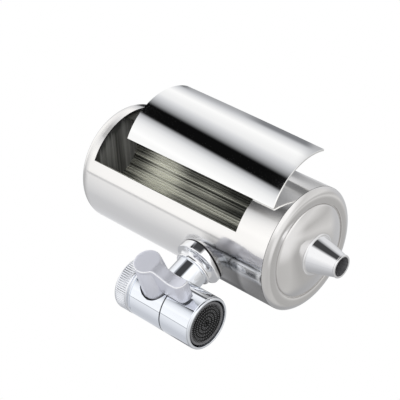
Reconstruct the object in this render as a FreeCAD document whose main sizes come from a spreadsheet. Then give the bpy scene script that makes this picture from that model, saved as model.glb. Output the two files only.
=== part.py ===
"""Faucet mount water filter: a swivel nut and diverter valve that carry an upright steel canister.

Millimetres. Origin at the mouth of the faucet nut, on the axis of the faucet thread, +Z up.
The canister stands at +X, the lever faces -Y and both outlets point down. The canister is a
cutaway: a quarter of its wall is cut out and lies clear of the window that it leaves.
"""
import FreeCAD, Part
import math
import os
import re
import Sketcher

PLACE = FreeCAD.Placement
TURN = FreeCAD.Rotation
VEC = FreeCAD.Vector

# Driving sizes: name, value and what it measures
SIZES = [
    ("run_gap", 0.05, "radial clearance of a turning fit"),
    ("slip_gap", 0.1, "end clearance of a turning fit"),
    ("seat_gap", 0.3, "space left beside a part that lies on or in another"),
    ("nut_height", 8.6, "faucet nut, mouth to underside"),
    ("nut_proud", 0.15, "faucet nut's ribs beyond the valve body"),
    ("nut_wall", 3.65, "wall of the nut at its thread"),
    ("nut_mouth", 4.2, "depth of the nut's thread"),
    ("thread_relief", 0.7, "undercut below the nut's thread"),
    ("washer_drop", 0.4, "end of the thread to the washer"),
    ("nut_shoulder", 1.4, "shoulder that holds the collar"),
    ("nut_edge", 0.7, "chamfer of the nut's rims"),
    ("rib_count", 72, "ribs round the nut"),
    ("rib_depth", 0.45, "depth of the grooves between ribs"),
    ("rib_margin", 1.2, "plain band above and below the ribs"),
    ("collar_step", 2.2, "nut's thread to the swivel collar"),
    ("collar_wall", 2.8, "wall of the collar"),
    ("collar_lip", 1.0, "thickness of the collar's lip"),
    ("collar_depth", 3.8, "collar screwed into the valve body"),
    ("washer_width", 3.6, "ring width of the faucet washer"),
    ("screen_thick", 0.6, "inlet screen"),
    ("body_radius", 14.0, "valve body and aerator housing"),
    ("body_gap", 0.2, "nut to valve body"),
    ("body_length", 23.0, "valve body between nut and seam"),
    ("body_band", 1.9, "depth of the fine groove below the nut"),
    ("groove_size", 0.35, "width and depth of fine grooves"),
    ("port_drop", 21.8, "nut mouth to the axis of valve and pipe"),
    ("water_bore", 5.0, "waterways of the valve body"),
    ("spigot_length", 6.2, "spigot under the valve body"),
    ("rotor_radius", 7.1, "valve rotor"),
    ("rotor_back", 8.0, "rotor behind the valve axis"),
    ("rotor_sink", 5.9, "front of the rotor below the face of the valve body"),
    ("rotor_web", 1.0, "rotor wall left beside the axis"),
    ("recess_margin", 2.8, "rotor left before and behind its recess"),
    ("ring_wire", 0.5, "half thickness of the rotor's seal rings"),
    ("ring_inset", 1.3, "rotor seal rings from its ends"),
    ("gland_radius", 8.9, "gland ring over the rotor"),
    ("gland_thick", 2.3, "thickness of the gland ring"),
    ("stem_radius", 4.5, "stem of the rotor"),
    ("stem_rise", 12.6, "stem end beyond the valve body"),
    ("seat_radius", 6.2, "rubber port seats"),
    ("seat_back", 1.7, "back of the port seats beyond the rotor"),
    ("lever_rise", 17.2, "lever face beyond the valve body"),
    ("head_radius", 7.1, "round head of the lever"),
    ("hub_radius", 8.3, "foot of the lever's hub"),
    ("hub_gap", 0.4, "gland to lever hub"),
    ("head_flare", 0.3, "how much wider the head is at its foot"),
    ("head_slant", 2.2, "height over which the hub turns into the head"),
    ("arm_reach", 24.4, "lever tip from the stem axis"),
    ("arm_width", 6.7, "width of the lever's arm"),
    ("arm_shift", 0.55, "arm moved sideways, away from the canister"),
    ("arm_clear", 1.1, "arm to valve body"),
    ("neck_start", 7.0, "start of the arm's neck from the stem axis"),
    ("neck_run", 7.0, "length of the arm's neck"),
    ("arm_fall", 3.6, "drop of the arm below the head"),
    ("arm_rise", 1.0, "rise of the arm towards its tip"),
    ("arm_lean", 1.4, "lean of the arm's end"),
    ("arm_round", 4.6, "large rounding of the lever's tip"),
    ("arm_corner", 0.8, "small rounding of the lever's tip"),
    ("aerator_length", 19.8, "aerator housing"),
    ("aerator_wall", 1.0, "wall round the spigot"),
    ("mouth_wall", 1.5, "wall of the aerator housing at its mouth"),
    ("rim_width", 1.1, "rolled rim at the mouth"),
    ("gasket_thick", 1.6, "aerator gasket"),
    ("gasket_room", 2.0, "hole of the aerator gasket beyond the waterway"),
    ("insert_gap", 0.9, "gap round the spray insert"),
    ("insert_flange", 2.4, "flange of the spray insert"),
    ("insert_wall", 1.3, "wall of the spray insert"),
    ("insert_set", 0.8, "spray face inside the mouth"),
    ("insert_face", 2.0, "thickness of the spray face"),
    ("insert_ridge", 0.35, "height of the rings on the spray face"),
    ("spray_hole", 0.5, "radius of a spray hole"),
    ("core_thick", 2.2, "flow straightener"),
    ("core_hole", 1.0, "radius of a straightener hole"),
    ("pipe_radius", 8.95, "side pipe"),
    ("pipe_web", 1.7, "wall between port seat and pipe"),
    ("pipe_run", 10.2, "pipe beyond the valve body"),
    ("tail_radius", 5.9, "inlet tail inside the pipe"),
    ("tail_sink", 1.0, "tail inside the valve body"),
    ("tail_bore", 3.4, "waterway of the tail"),
    ("tail_wire", 0.76, "half thickness of the tail's seal rings"),
    ("tail_ring_a", 2.4, "first seal ring beyond the valve body"),
    ("tail_ring_b", 6.2, "second seal ring beyond the valve body"),
    ("shank_radius", 7.5, "shank through the canister wall"),
    ("shank_flange", 10.5, "flange inside the canister"),
    ("shank_depth", 3.2, "shank inside the canister wall"),
    ("flange_place", 7.6, "neck of the escutcheon beyond the valve body"),
    ("flange_neck", 10.4, "collar on the escutcheon's neck"),
    ("flange_radius", 13.3, "escutcheon"),
    ("flange_rim", 1.5, "edge of the escutcheon"),
    ("saddle_thick", 0.6, "saddle gasket between escutcheon and canister"),
    ("saddle_inset", 0.3, "saddle gasket inside the escutcheon's edge"),
    ("can_gap", 13.9, "valve body to the wall of the canister"),
    ("can_radius", 33.5, "canister"),
    ("can_wall", 1.0, "canister wall"),
    ("can_top", 61.5, "top of the straight wall"),
    ("can_bottom", 64.6, "bottom of the straight wall, below the origin"),
    ("can_shoulder", 5.0, "shoulder at the closed end"),
    ("step_inset", 8.1, "pressed step in both ends, from the wall inwards"),
    ("step_depth", 0.8, "depth of that step"),
    ("window_start", 228.3, "near edge of the window, degrees about the axis"),
    ("window_sweep_top", 91.7, "window at its upper edge, degrees"),
    ("window_sweep_low", 77.7, "window at its lower edge, degrees"),
    ("window_top", 57.2, "upper edge of the window"),
    ("window_bottom", 44.7, "lower edge of the window, below the origin"),
    ("saw_cut", 0.25, "width lost to the cut on each edge"),
    ("panel_aside", 15.7, "cut-out moved along X"),
    ("panel_down", 13.6, "cut-out moved along Z"),
    ("cap_wall", 1.2, "end cap"),
    ("cap_skirt", 6.0, "cap inside the canister"),
    ("cap_curve", 5.7, "radius of the cap's shoulder"),
    ("cap_shoulder", 4.9, "width of the cap's shoulder"),
    ("cap_fall", 2.7, "height of the shoulder"),
    ("cap_bulge", 4.5, "rise of the cap's centre"),
    ("cap_dome", 40.0, "radius of the cap's domed centre"),
    ("cap_hole", 9.0, "hole for the outlet"),
    ("spout_ledge", 11.2, "ledge of the outlet"),
    ("ledge_thick", 0.7, "thickness of that ledge"),
    ("spout_root", 9.9, "outlet cone at its root"),
    ("spout_tip", 6.1, "outlet cone at its tip"),
    ("spout_bore", 5.2, "bore of the outlet"),
    ("spout_length", 15.2, "outlet cone"),
    ("seal_thick", 1.5, "seal ring in the canister"),
    ("seal_width", 5.0, "ring width of that seal"),
    ("potting_thick", 5.0, "resin that holds the fibres"),
    ("plate_thick", 1.2, "end plate over the fibres"),
    ("plate_drop", 1.5, "end plate below the top of the straight wall"),
    ("cut_facing", 242.0, "direction that the hollow faces, degrees"),
    ("trough_radius", 19.5, "hollow in the fibre bundle"),
    ("trough_depth", 0.6, "floor of the hollow from the canister axis"),
    ("trough_shift", 2.0, "hollow moved sideways"),
    ("fibre_pitch", 1.6, "fibre bundles side by side"),
]

doc = FreeCAD.newDocument("faucet_filter")
sheet = doc.addObject("Spreadsheet::Sheet", "Sizes")
for row, (name, value, note) in enumerate(SIZES, start=1):
    sheet.set("A%d" % row, name)
    sheet.set("B%d" % row, str(value))
    sheet.setAlias("B%d" % row, name)
    sheet.set("C%d" % row, note)
doc.recompute()

ALIASES = {name for name, value, note in SIZES}
NODES = {}


def linked(text):
    """An expression on size names, with each name pointing to its cell."""
    return re.sub(r"[a-z_]+", lambda m: "Sizes." + m.group(0) if m.group(0) in ALIASES else m.group(0), text)


def size(text):
    """The value of an expression on size names."""
    value = sheet.evalExpression(linked(text))
    return float(getattr(value, "Value", value))


def bind(thing, **properties):
    """Ties properties to expressions; a double underscore stands for a dot."""
    for name, text in properties.items():
        thing.setExpression(name.replace("__", "."), linked(text))
    return thing


# Directions of the four working axes, as turns from +Z
UPRIGHT = TURN()
ALONG_X = TURN(VEC(0, 1, 0), 90)
LEVER_TURN = TURN(VEC(0, 0, -1), VEC(1, 0, 0), VEC(0, -1, 0), "XZY")
CAN_FACE = "(body_radius + can_gap)"
CAN_AXIS = "(body_radius + can_gap + can_radius)"
CAN_PLACE = (CAN_AXIS, "0", "0")
PIPE_PLACE = ("0", "0", "-port_drop")


def put(thing, place, turn):
    """Places a part: three expressions for its origin, and its turn."""
    thing.Placement = PLACE(VEC(*[size(text) for text in place]), turn)
    return bind(thing, Placement__Base__x=place[0], Placement__Base__y=place[1], Placement__Base__z=place[2])


def arc_between(start, end, radius, side):
    """A circular arc of a given radius; side is 1 where it bulges left of its chord, else -1."""
    chord = end - start
    half = chord.Length / 2
    left = VEC(-chord.y, chord.x, 0).normalize()
    rise = math.sqrt(radius * radius - half * half)
    centre = (start + end) / 2 - left * side * rise
    crown = centre + left * side * radius
    return Part.Arc(start, crown, end), centre


def draw(sketch, corners):
    """Draws a closed outline of lines and arcs, each corner held by two expressions.

    A corner is (x, y), or (x, y, radius, side) where an arc leads to the next corner.
    """
    points = [VEC(size(c[0]), size(c[1]), 0) for c in corners]
    count = len(corners)
    ends = []
    for i, corner in enumerate(corners):
        start, end = points[i], points[(i + 1) % count]
        if len(corner) == 4:
            arc, centre = arc_between(start, end, size(corner[2]), corner[3])
            forward = (start - centre).cross(end - centre).z > 0
            first, last = (start, end) if forward else (end, start)
            angle = [math.atan2(p.y - centre.y, p.x - centre.x) for p in (first, last)]
            circle = Part.Circle(centre, VEC(0, 0, 1), size(corner[2]))
            index = sketch.addGeometry(Part.ArcOfCircle(circle, angle[0], angle[1]), False)
            ends.append((1, 2) if forward else (2, 1))
            held = sketch.addConstraint(Sketcher.Constraint("Radius", index, size(corner[2])))
            sketch.setExpression("Constraints[%d]" % held, linked(corner[2]))
        else:
            sketch.addGeometry(Part.LineSegment(start, end), False)
            ends.append((1, 2))
    for i, corner in enumerate(corners):
        after = (i + 1) % count
        sketch.addConstraint(Sketcher.Constraint("Coincident", i, ends[i][1], after, ends[after][0]))
        for kind, text, axis in (("DistanceX", corner[0], -2), ("DistanceY", corner[1], -1)):
            if text == "0":
                sketch.addConstraint(Sketcher.Constraint("PointOnObject", i, ends[i][0], axis))
                continue
            held = sketch.addConstraint(Sketcher.Constraint(kind, -1, 1, i, ends[i][0], size(text)))
            sketch.setExpression("Constraints[%d]" % held, linked(text))


def plane_of(body, role):
    """An origin plane of a body, by its role."""
    return next(feature for feature in body.Origin.OriginFeatures if feature.Role == role)


def sketch_on(body, name, role, corners, lift=None):
    """A sketch on an origin plane of a body, lifted off it by an expression."""
    sketch = body.newObject("Sketcher::SketchObject", name)
    sketch.AttachmentSupport = [(plane_of(body, role), "")]
    sketch.MapMode = "FlatFace"
    if lift:
        bind(sketch, AttachmentOffset__Base__z=lift)
    draw(sketch, corners)
    return sketch


def turned(label, corners, place=("0", "0", "0"), turn=UPRIGHT, sweep=None):
    """A turned part: an outline of (radius, height) corners carried round its own Z axis."""
    body = doc.addObject("PartDesign::Body", label)
    sketch = sketch_on(body, label + "_outline", "XZ_Plane", corners)
    feature = body.newObject("PartDesign::Revolution", label + "_turned")
    feature.Profile = sketch
    feature.ReferenceAxis = (sketch, ["V_Axis"])
    feature.Angle = 360
    if sweep:
        bind(feature, Angle=sweep)
    return put(body, place, turn)


def rod(label, radius, start, length, place=("0", "0", "0"), turn=UPRIGHT):
    """A plain cylinder that starts some way along its own axis."""
    thing = doc.addObject("Part::Cylinder", label)
    bind(thing, Radius=radius, Height=length)
    shift = turn.multVec(VEC(0, 0, 1))
    moved = ["(%s) + (%s) * %g" % (base, start, part) for base, part in zip(place, shift)]
    return put(thing, moved, turn)


def block(label, spans):
    """A box from three (low, high) pairs of expressions."""
    thing = doc.addObject("Part::Box", label)
    lengths = ["(%s) - (%s)" % (high, low) for low, high in spans]
    bind(thing, Length=lengths[0], Width=lengths[1], Height=lengths[2])
    return put(thing, [low for low, high in spans], UPRIGHT)


def joined(label, pieces):
    """The union of several pieces."""
    fuse = doc.addObject("Part::MultiFuse", label)
    fuse.Shapes = pieces
    return fuse


def cut(label, base, tools):
    """A base with its tools cut away."""
    result = doc.addObject("Part::Cut", label)
    result.Base = base
    result.Tool = tools[0] if len(tools) == 1 else joined(label + "_tools", tools)
    return result


def shared(label, first, second):
    """What two pieces have in common."""
    result = doc.addObject("Part::Common", label)
    result.Base = first
    result.Tool = second
    return result


def ringed(label, rings, place, turn):
    """Seal rings: a (ring radius, half thickness, place along the axis) torus each."""
    made = []
    for index, (radius, wire, along) in enumerate(rings):
        ring = doc.addObject("Part::Torus", "%s_%d" % (label, index + 1))
        bind(ring, Radius1=radius, Radius2=wire)
        shift = turn.multVec(VEC(0, 0, 1))
        moved = ["(%s) + (%s) * %g" % (base, along, part) for base, part in zip(place, shift)]
        made.append(put(ring, moved, turn))
    if len(made) == 1:
        return made[0]
    group = doc.addObject("Part::Compound", label)
    group.Links = made
    return group


def keep(node, thing):
    """Names the finished part after its node."""
    thing.Label = node
    NODES[node] = thing
    return thing


def rounded(label, body, edges, radius):
    """Rounds the edges of a body that a test on the edge picks out."""
    doc.recompute()
    base = body.Tip
    picked = ["Edge%d" % (i + 1) for i, edge in enumerate(base.Shape.Edges) if edges(edge)]
    feature = body.newObject("PartDesign::Fillet", label)
    feature.Base = (base, picked)
    bind(feature, Radius=radius)
    body.Tip = feature
    return feature


# Heights of the seams, from the nut's mouth downwards
NUT_UNDER = "-nut_height"
LIP_TOP = "-(nut_height - nut_shoulder - slip_gap - collar_lip)"
LIP_UNDER = "-(nut_height - nut_shoulder - slip_gap)"
BODY_TOP = "-(nut_height + body_gap)"
SEAM = "-(nut_height + body_gap + body_length)"
SPIGOT_END = "-(nut_height + body_gap + body_length + spigot_length)"
LEDGE = "-(nut_height + body_gap + body_length + spigot_length + gasket_thick + insert_flange)"
MOUTH = "-(nut_height + body_gap + body_length + aerator_length)"

# Radii of what fits together, and distances from the valve axis
NUT_RADIUS = "(body_radius + nut_proud)"
THREAD = "(body_radius + nut_proud - nut_wall)"
RELIEF = "(body_radius + nut_proud - nut_wall + thread_relief)"
COLLAR = "(body_radius + nut_proud - nut_wall - collar_step)"
WASHER_RADIUS = "(body_radius + nut_proud - nut_wall - 3 * slip_gap)"
WASHER_BORE = "(body_radius + nut_proud - nut_wall - 3 * slip_gap - washer_width)"
HOUSING_BORE = "(body_radius - aerator_wall)"
SPIGOT_RADIUS = "(body_radius - aerator_wall - slip_gap)"
MOUTH_BORE = "(body_radius - mouth_wall)"
INSERT_RADIUS = "(body_radius - mouth_wall - insert_gap)"
ROTOR_FRONT = "(body_radius - rotor_sink)"
GLAND_TOP = "(body_radius - rotor_sink + slip_gap + gland_thick)"
STEM_END = "(body_radius + stem_rise)"
LEVER_FACE = "(body_radius + lever_rise)"
SEAT_BACK = "(rotor_radius + seat_back)"
PIPE_SEAT = "(rotor_radius + seat_back + pipe_web)"
PIPE_END = "(body_radius + pipe_run)"


def faucet_nut():
    """Ribbed ring nut whose inner shoulder carries the swivel collar."""
    low = "-(nut_height - nut_shoulder)"
    nut = turned("nut", [
        (THREAD, "0"), (NUT_RADIUS + " - nut_edge", "0"), (NUT_RADIUS, "-nut_edge"),
        (NUT_RADIUS, "-(nut_height - nut_edge)"), (NUT_RADIUS + " - nut_edge", NUT_UNDER),
        (COLLAR + " + run_gap", NUT_UNDER), (COLLAR + " + run_gap", low),
        (RELIEF, low), (RELIEF, "-nut_mouth"), (THREAD, "-nut_mouth")])
    half = NUT_RADIUS + " * 0.9 * pi / rib_count"
    groove = sketch_on(nut, "rib_groove", "XY_Plane", [
        (NUT_RADIUS + " - rib_depth", "0"), (NUT_RADIUS + " + rib_depth", "-(%s)" % half),
        (NUT_RADIUS + " + rib_depth", half)], lift="-rib_margin")
    doc.recompute()
    pocket = nut.newObject("PartDesign::Pocket", "rib_pocket")
    pocket.Profile = groove
    bind(pocket, Length="nut_height - 2 * rib_margin")
    nut.Tip = pocket
    pattern = nut.newObject("PartDesign::PolarPattern", "ribs")
    pattern.Originals = [pocket]
    pattern.Axis = (groove, ["N_Axis"])
    pattern.Angle = 360
    bind(pattern, Occurrences="rib_count")
    nut.Tip = pattern
    keep("faucet_nut", nut)


def swivel_collar():
    """Lipped tube, screwed into the valve body, on which the nut turns."""
    end = "-(nut_height + body_gap + collar_depth)"
    lip = THREAD + " - 4 * slip_gap"
    bore = COLLAR + " - collar_wall"
    keep("swivel_collar", turned("collar", [
        (bore, LIP_TOP), (lip, LIP_TOP), (lip, LIP_UNDER), (COLLAR, LIP_UNDER), (COLLAR, end), (bore, end)]))
    top = "-(nut_mouth + washer_drop)"
    keep("faucet_washer", turned("washer", [
        (WASHER_BORE, top), (WASHER_RADIUS, top), (WASHER_RADIUS, LIP_TOP), (WASHER_BORE, LIP_TOP)]))
    keep("inlet_screen", rod("screen", WASHER_BORE + " - slip_gap", LIP_TOP, "screen_thick"))


def valve_body():
    """Round casting with a cross bore for the rotor and a socket for the side pipe."""
    groove = "-(nut_height + body_gap + body_band)"
    under = "-(nut_height + body_gap + body_band + groove_size)"
    casting = turned("casting", [
        ("0", BODY_TOP), ("body_radius - groove_size", BODY_TOP),
        ("body_radius", "-(nut_height + body_gap + groove_size)"),
        ("body_radius", groove), ("body_radius - groove_size", groove),
        ("body_radius - groove_size", under), ("body_radius", under),
        ("body_radius", "%s + groove_size" % SEAM), ("body_radius - groove_size", SEAM),
        (SPIGOT_RADIUS, SEAM), (SPIGOT_RADIUS, SPIGOT_END), ("0", SPIGOT_END)])
    socket = rod("collar_socket", COLLAR, "-(nut_height + body_gap + collar_depth)",
                 "collar_depth + body_gap")
    inlet = rod("inlet_way", "water_bore", "-port_drop", "port_drop")
    outlet = rod("outlet_way", "water_bore", SPIGOT_END, "-(%s) - port_drop" % SPIGOT_END)
    chamber = rod("rotor_chamber", "rotor_radius + run_gap", "-(rotor_back + slip_gap)",
                  "rotor_back + body_radius", PIPE_PLACE, LEVER_TURN)
    recess = rod("gland_recess", "gland_radius + run_gap", ROTOR_FRONT + " + slip_gap",
                 "body_radius", PIPE_PLACE, LEVER_TURN)
    side = rod("side_way", "water_bore", "0", PIPE_SEAT + " + 1", PIPE_PLACE, ALONG_X)
    pipe = rod("pipe_socket", "pipe_radius", PIPE_SEAT, "body_radius", PIPE_PLACE, ALONG_X)
    depth = SEAT_BACK + " - seat_radius"
    seats = [rod("side_seat", "seat_radius", "seat_radius", depth, PIPE_PLACE, ALONG_X),
             rod("lower_seat", "seat_radius", "-(port_drop + %s)" % SEAT_BACK, depth)]
    keep("valve_body", cut("body_cut", casting, [socket, inlet, outlet, chamber, recess, side, pipe] + seats))


def port_seats():
    """Two rubber rings, hollowed to the rotor, that seal the side and the lower way."""
    rings = []
    for name, turn, place in (("side", ALONG_X, PIPE_PLACE), ("lower", TURN(VEC(0, 1, 0), 180), PIPE_PLACE)):
        outer = rod(name + "_seat_ring", "seat_radius - run_gap", "seat_radius", SEAT_BACK + " - seat_radius",
                    place, turn)
        inner = rod(name + "_seat_hole", "water_bore", "0", SEAT_BACK + " + 1", place, turn)
        hollow = rod(name + "_seat_hollow", "rotor_radius + slip_gap", "-2 * rotor_back",
                     "4 * rotor_back", PIPE_PLACE, LEVER_TURN)
        rings.append(cut(name + "_seat_cut", outer, [inner, hollow]))
    group = doc.addObject("Part::Compound", "seat_group")
    group.Links = rings
    keep("port_seats", group)


def gland():
    """Ring screwed in over the rotor."""
    low = ROTOR_FRONT + " + slip_gap"
    hole = "stem_radius + run_gap"
    keep("gland_ring", turned("gland", [
        (hole, low), ("gland_radius", low), ("gland_radius", GLAND_TOP + " - groove_size"),
        ("gland_radius - groove_size", GLAND_TOP), (hole, GLAND_TOP)], PIPE_PLACE, LEVER_TURN))


def rotor():
    """Plug with a half-round recess: it joins the inlet to one outlet or the other."""
    corners = [("0", "-rotor_back"), ("rotor_radius", "-rotor_back")]
    floor = "rotor_radius - 2 * ring_wire"
    places = ("-(rotor_back - ring_inset)", ROTOR_FRONT + " - ring_inset")
    for middle in places:
        low = middle + " - ring_wire * 1.1"
        high = middle + " + ring_wire * 1.1"
        corners += [("rotor_radius", low), (floor, low), (floor, high), ("rotor_radius", high)]
    corners += [("rotor_radius", ROTOR_FRONT), ("stem_radius", ROTOR_FRONT),
                ("stem_radius", STEM_END), ("0", STEM_END)]
    plug = turned("plug", corners, PIPE_PLACE, LEVER_TURN)
    recess = block("rotor_recess", [
        ("-2 * rotor_radius", "-rotor_web"),
        ("-(%s - recess_margin)" % ROTOR_FRONT, "rotor_back - recess_margin"),
        ("-port_drop - 2 * rotor_radius", "-port_drop + 2 * rotor_radius")])
    keep("valve_rotor", cut("rotor_cut", plug, [recess]))
    ring = "rotor_radius - ring_wire"
    keep("rotor_seals", ringed("rotor_ring", [(ring, "ring_wire", middle) for middle in places],
                               PIPE_PLACE, LEVER_TURN))


def lever():
    """Round hub with a swan-necked arm that drops towards the outlet."""
    foot = GLAND_TOP + " + hub_gap"
    arm_low = "body_radius + arm_clear"
    arm_top = LEVER_FACE + " - arm_fall"
    bend = "(neck_run * neck_run + arm_fall * arm_fall) / (4 * arm_fall)"
    slant = LEVER_FACE + " - head_slant"
    body = turned("handle", [
        ("stem_radius", foot), ("hub_radius", foot), ("head_radius + head_flare", slant),
        ("head_radius", LEVER_FACE), ("0", LEVER_FACE), ("0", STEM_END), ("stem_radius", STEM_END)],
        PIPE_PLACE, LEVER_TURN)
    outline = sketch_on(body, "arm_outline", "XZ_Plane", [
        ("stem_radius + run_gap", arm_low), ("stem_radius + run_gap", LEVER_FACE),
        ("neck_start", LEVER_FACE, bend, 1),
        ("neck_start + neck_run / 2", LEVER_FACE + " - arm_fall / 2", bend, -1),
        ("neck_start + neck_run", arm_top), ("arm_reach", arm_top + " + arm_rise"),
        ("arm_reach - arm_lean", arm_low)], lift="arm_shift")
    doc.recompute()
    arm = body.newObject("PartDesign::Pad", "arm")
    arm.Profile = outline
    arm.SideType = "Symmetric"
    bind(arm, Length="arm_width")
    body.Tip = arm
    behind = size("arm_reach - arm_lean - slip_gap")

    far_side = size("-arm_width / 2 - arm_shift")
    near_side = size("arm_width / 2 - arm_shift")

    def at_tip(edge, side):
        """Whether an edge runs down the end of the arm, on one side of it."""
        return all(end.Point.x > behind and abs(end.Point.y - side) < 0.01 for end in edge.Vertexes)

    rounded("tip_rounding", body, lambda edge: at_tip(edge, far_side), "arm_round")
    rounded("tip_corner", body, lambda edge: at_tip(edge, near_side), "arm_corner")
    keep("lever", body)


def aerator():
    """Housing, gasket, spray insert and flow straightener under the valve body."""
    keep("aerator_housing", turned("housing", [
        (HOUSING_BORE, SEAM), ("body_radius - groove_size", SEAM), ("body_radius", SEAM + " - groove_size"),
        ("body_radius", MOUTH + " + rim_width", "rim_width * 1.1", 1),
        ("body_radius - rim_width", MOUTH), (MOUTH_BORE, MOUTH + " + groove_size"),
        (MOUTH_BORE, LEDGE), (HOUSING_BORE, LEDGE)]))
    inner = HOUSING_BORE + " - slip_gap"
    gasket_top = SPIGOT_END
    flange_top = "%s + insert_flange" % LEDGE
    keep("aerator_gasket", turned("gasket", [
        ("water_bore + gasket_room", flange_top), (inner, flange_top),
        (inner, gasket_top), ("water_bore + gasket_room", gasket_top)]))
    face = "%s + insert_set" % MOUTH
    bore = INSERT_RADIUS + " - insert_wall"
    corners = [
        ("0", face + " + insert_face"), (bore, face + " + insert_face"), (bore, flange_top),
        (inner, flange_top), (inner, LEDGE), (INSERT_RADIUS, LEDGE), (INSERT_RADIUS, face)]
    for ring in (10, 8, 6, 4, 2):
        outer = INSERT_RADIUS + " * %g" % (ring / 11 + 0.035)
        crest = INSERT_RADIUS + " * %g" % (ring / 11)
        within = INSERT_RADIUS + " * %g" % (ring / 11 - 0.035)
        corners += [(outer, face), (crest, face + " - insert_ridge"), (within, face)]
    corners.append(("0", face))
    insert = turned("insert", corners)
    for ring, holes in ((9, 20), (7, 15), (5, 10), (3, 6)):
        hole = insert.newObject("Sketcher::SketchObject", "spray_%d" % ring)
        hole.AttachmentSupport = [(plane_of(insert, "XY_Plane"), "")]
        hole.MapMode = "FlatFace"
        bind(hole, AttachmentOffset__Base__z=face + " - 1")
        circle = INSERT_RADIUS + " * %g" % (ring / 11)
        hole.addGeometry(Part.Circle(VEC(size(circle), 0, 0), VEC(0, 0, 1), size("spray_hole")), False)
        hole.addConstraint(Sketcher.Constraint("PointOnObject", 0, 3, -1))
        held = hole.addConstraint(Sketcher.Constraint("DistanceX", -1, 1, 0, 3, size(circle)))
        hole.setExpression("Constraints[%d]" % held, linked(circle))
        held = hole.addConstraint(Sketcher.Constraint("Radius", 0, size("spray_hole")))
        hole.setExpression("Constraints[%d]" % held, linked("spray_hole"))
        doc.recompute()
        pocket = insert.newObject("PartDesign::Pocket", "spray_pocket_%d" % ring)
        pocket.Profile = hole
        pocket.Reversed = True
        bind(pocket, Length="insert_face + 2")
        insert.Tip = pocket
        pattern = insert.newObject("PartDesign::PolarPattern", "spray_ring_%d" % ring)
        pattern.Originals = [pocket]
        pattern.Axis = (hole, ["N_Axis"])
        pattern.Angle = 360
        pattern.Occurrences = holes
        insert.Tip = pattern
    keep("spray_insert", insert)
    core = rod("core_disc", "%s - run_gap" % bore, face + " + insert_face", "core_thick")
    ways = []
    for index in range(6):
        turn = TURN(VEC(0, 0, 1), 60 * index)
        way = doc.addObject("Part::Cylinder", "core_way_%d" % (index + 1))
        bind(way, Radius="core_hole", Height="core_thick + 2")
        spot = turn.multVec(VEC(1, 0, 0))
        along, aside = [INSERT_RADIUS + " * 0.45 * %.6f" % part for part in (spot.x, spot.y)]
        ways.append(put(way, (along, aside, face + " + insert_face - 1"), UPRIGHT))
    keep("flow_straightener", cut("core_cut", core, ways))


def side_pipe():
    """Chromed pipe between the valve body and the escutcheon."""
    keep("side_pipe", turned("pipe", [
        ("tail_radius + run_gap", PIPE_SEAT), ("pipe_radius", PIPE_SEAT), ("pipe_radius", PIPE_END),
        ("tail_radius + run_gap", PIPE_END)], PIPE_PLACE, ALONG_X))


def canister_tool(label, radius):
    """The canister's round space, as a tool for what seats on its wall."""
    return rod(label, radius, "-can_radius * 2", "can_radius * 4", CAN_PLACE)


def inlet():
    """Turned spigot with two seal rings, a dished escutcheon and a saddle gasket."""
    step = PIPE_END + " + seat_gap"
    inside = CAN_FACE + " + shank_depth"
    floor = "tail_radius - 2 * tail_wire"
    start = "body_radius - tail_sink"
    corners = [("tail_bore", start), ("tail_radius - groove_size", start),
               ("tail_radius", start + " + groove_size")]
    places = ("body_radius + tail_ring_a", "body_radius + tail_ring_b")
    for middle in places:
        low = middle + " - tail_wire * 1.1"
        high = middle + " + tail_wire * 1.1"
        corners += [("tail_radius", low), (floor, low), (floor, high), ("tail_radius", high)]
    corners += [("tail_radius", step), ("shank_radius", step),
                ("shank_radius", inside), ("tail_bore", inside)]
    stem = turned("inlet_stem", corners, PIPE_PLACE, ALONG_X)
    plate = rod("inlet_plate", "shank_flange", CAN_FACE, "shank_depth", PIPE_PLACE, ALONG_X)
    backed = shared("inlet_backed", plate, canister_tool("inlet_round", "can_radius - can_wall"))
    way = rod("inlet_hole", "tail_bore", "0", CAN_AXIS, PIPE_PLACE, ALONG_X)
    keep("inlet_spigot", cut("inlet_cut", joined("inlet_joined", [stem, backed]), [way]))
    ring = "tail_radius - tail_wire"
    keep("spigot_seals", ringed("tail_ring", [(ring, "tail_wire", middle) for middle in places],
                                PIPE_PLACE, ALONG_X))
    neck = "pipe_radius + run_gap"
    front = "body_radius + flange_place"
    edge = CAN_FACE + " - saddle_thick"
    behind = CAN_FACE + " + can_radius / 4"
    dish = "(can_gap - flange_place) * 0.56"
    flange = turned("flange", [
        (neck, front), ("flange_neck - 0.3", front), ("flange_neck", front + " + 0.3"),
        ("flange_neck", front + " + 1.2"), ("flange_neck - 0.5", front + " + 1.4", dish, 1),
        ("flange_radius - 0.7", edge + " - flange_rim - 0.5", "0.9", -1),
        ("flange_radius", edge + " - flange_rim + 0.3"), ("flange_radius", behind),
        ("shank_radius", behind), ("shank_radius", step), (neck, step)], PIPE_PLACE, ALONG_X)
    seat = canister_tool("flange_round", "can_radius + saddle_thick")
    keep("escutcheon", cut("flange_cut", flange, [seat]))
    gasket = "flange_radius - saddle_inset"
    hole = "shank_radius + slip_gap"
    saddle = turned("saddle", [
        (hole, edge), (gasket, edge), (gasket, behind), (hole, behind)], PIPE_PLACE, ALONG_X)
    outside = canister_tool("saddle_outer", "can_radius + saddle_thick - run_gap")
    inside = canister_tool("saddle_inner", "can_radius + run_gap")
    keep("saddle_gasket", cut("saddle_cut", shared("saddle_layer", saddle, outside), [inside]))


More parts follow.
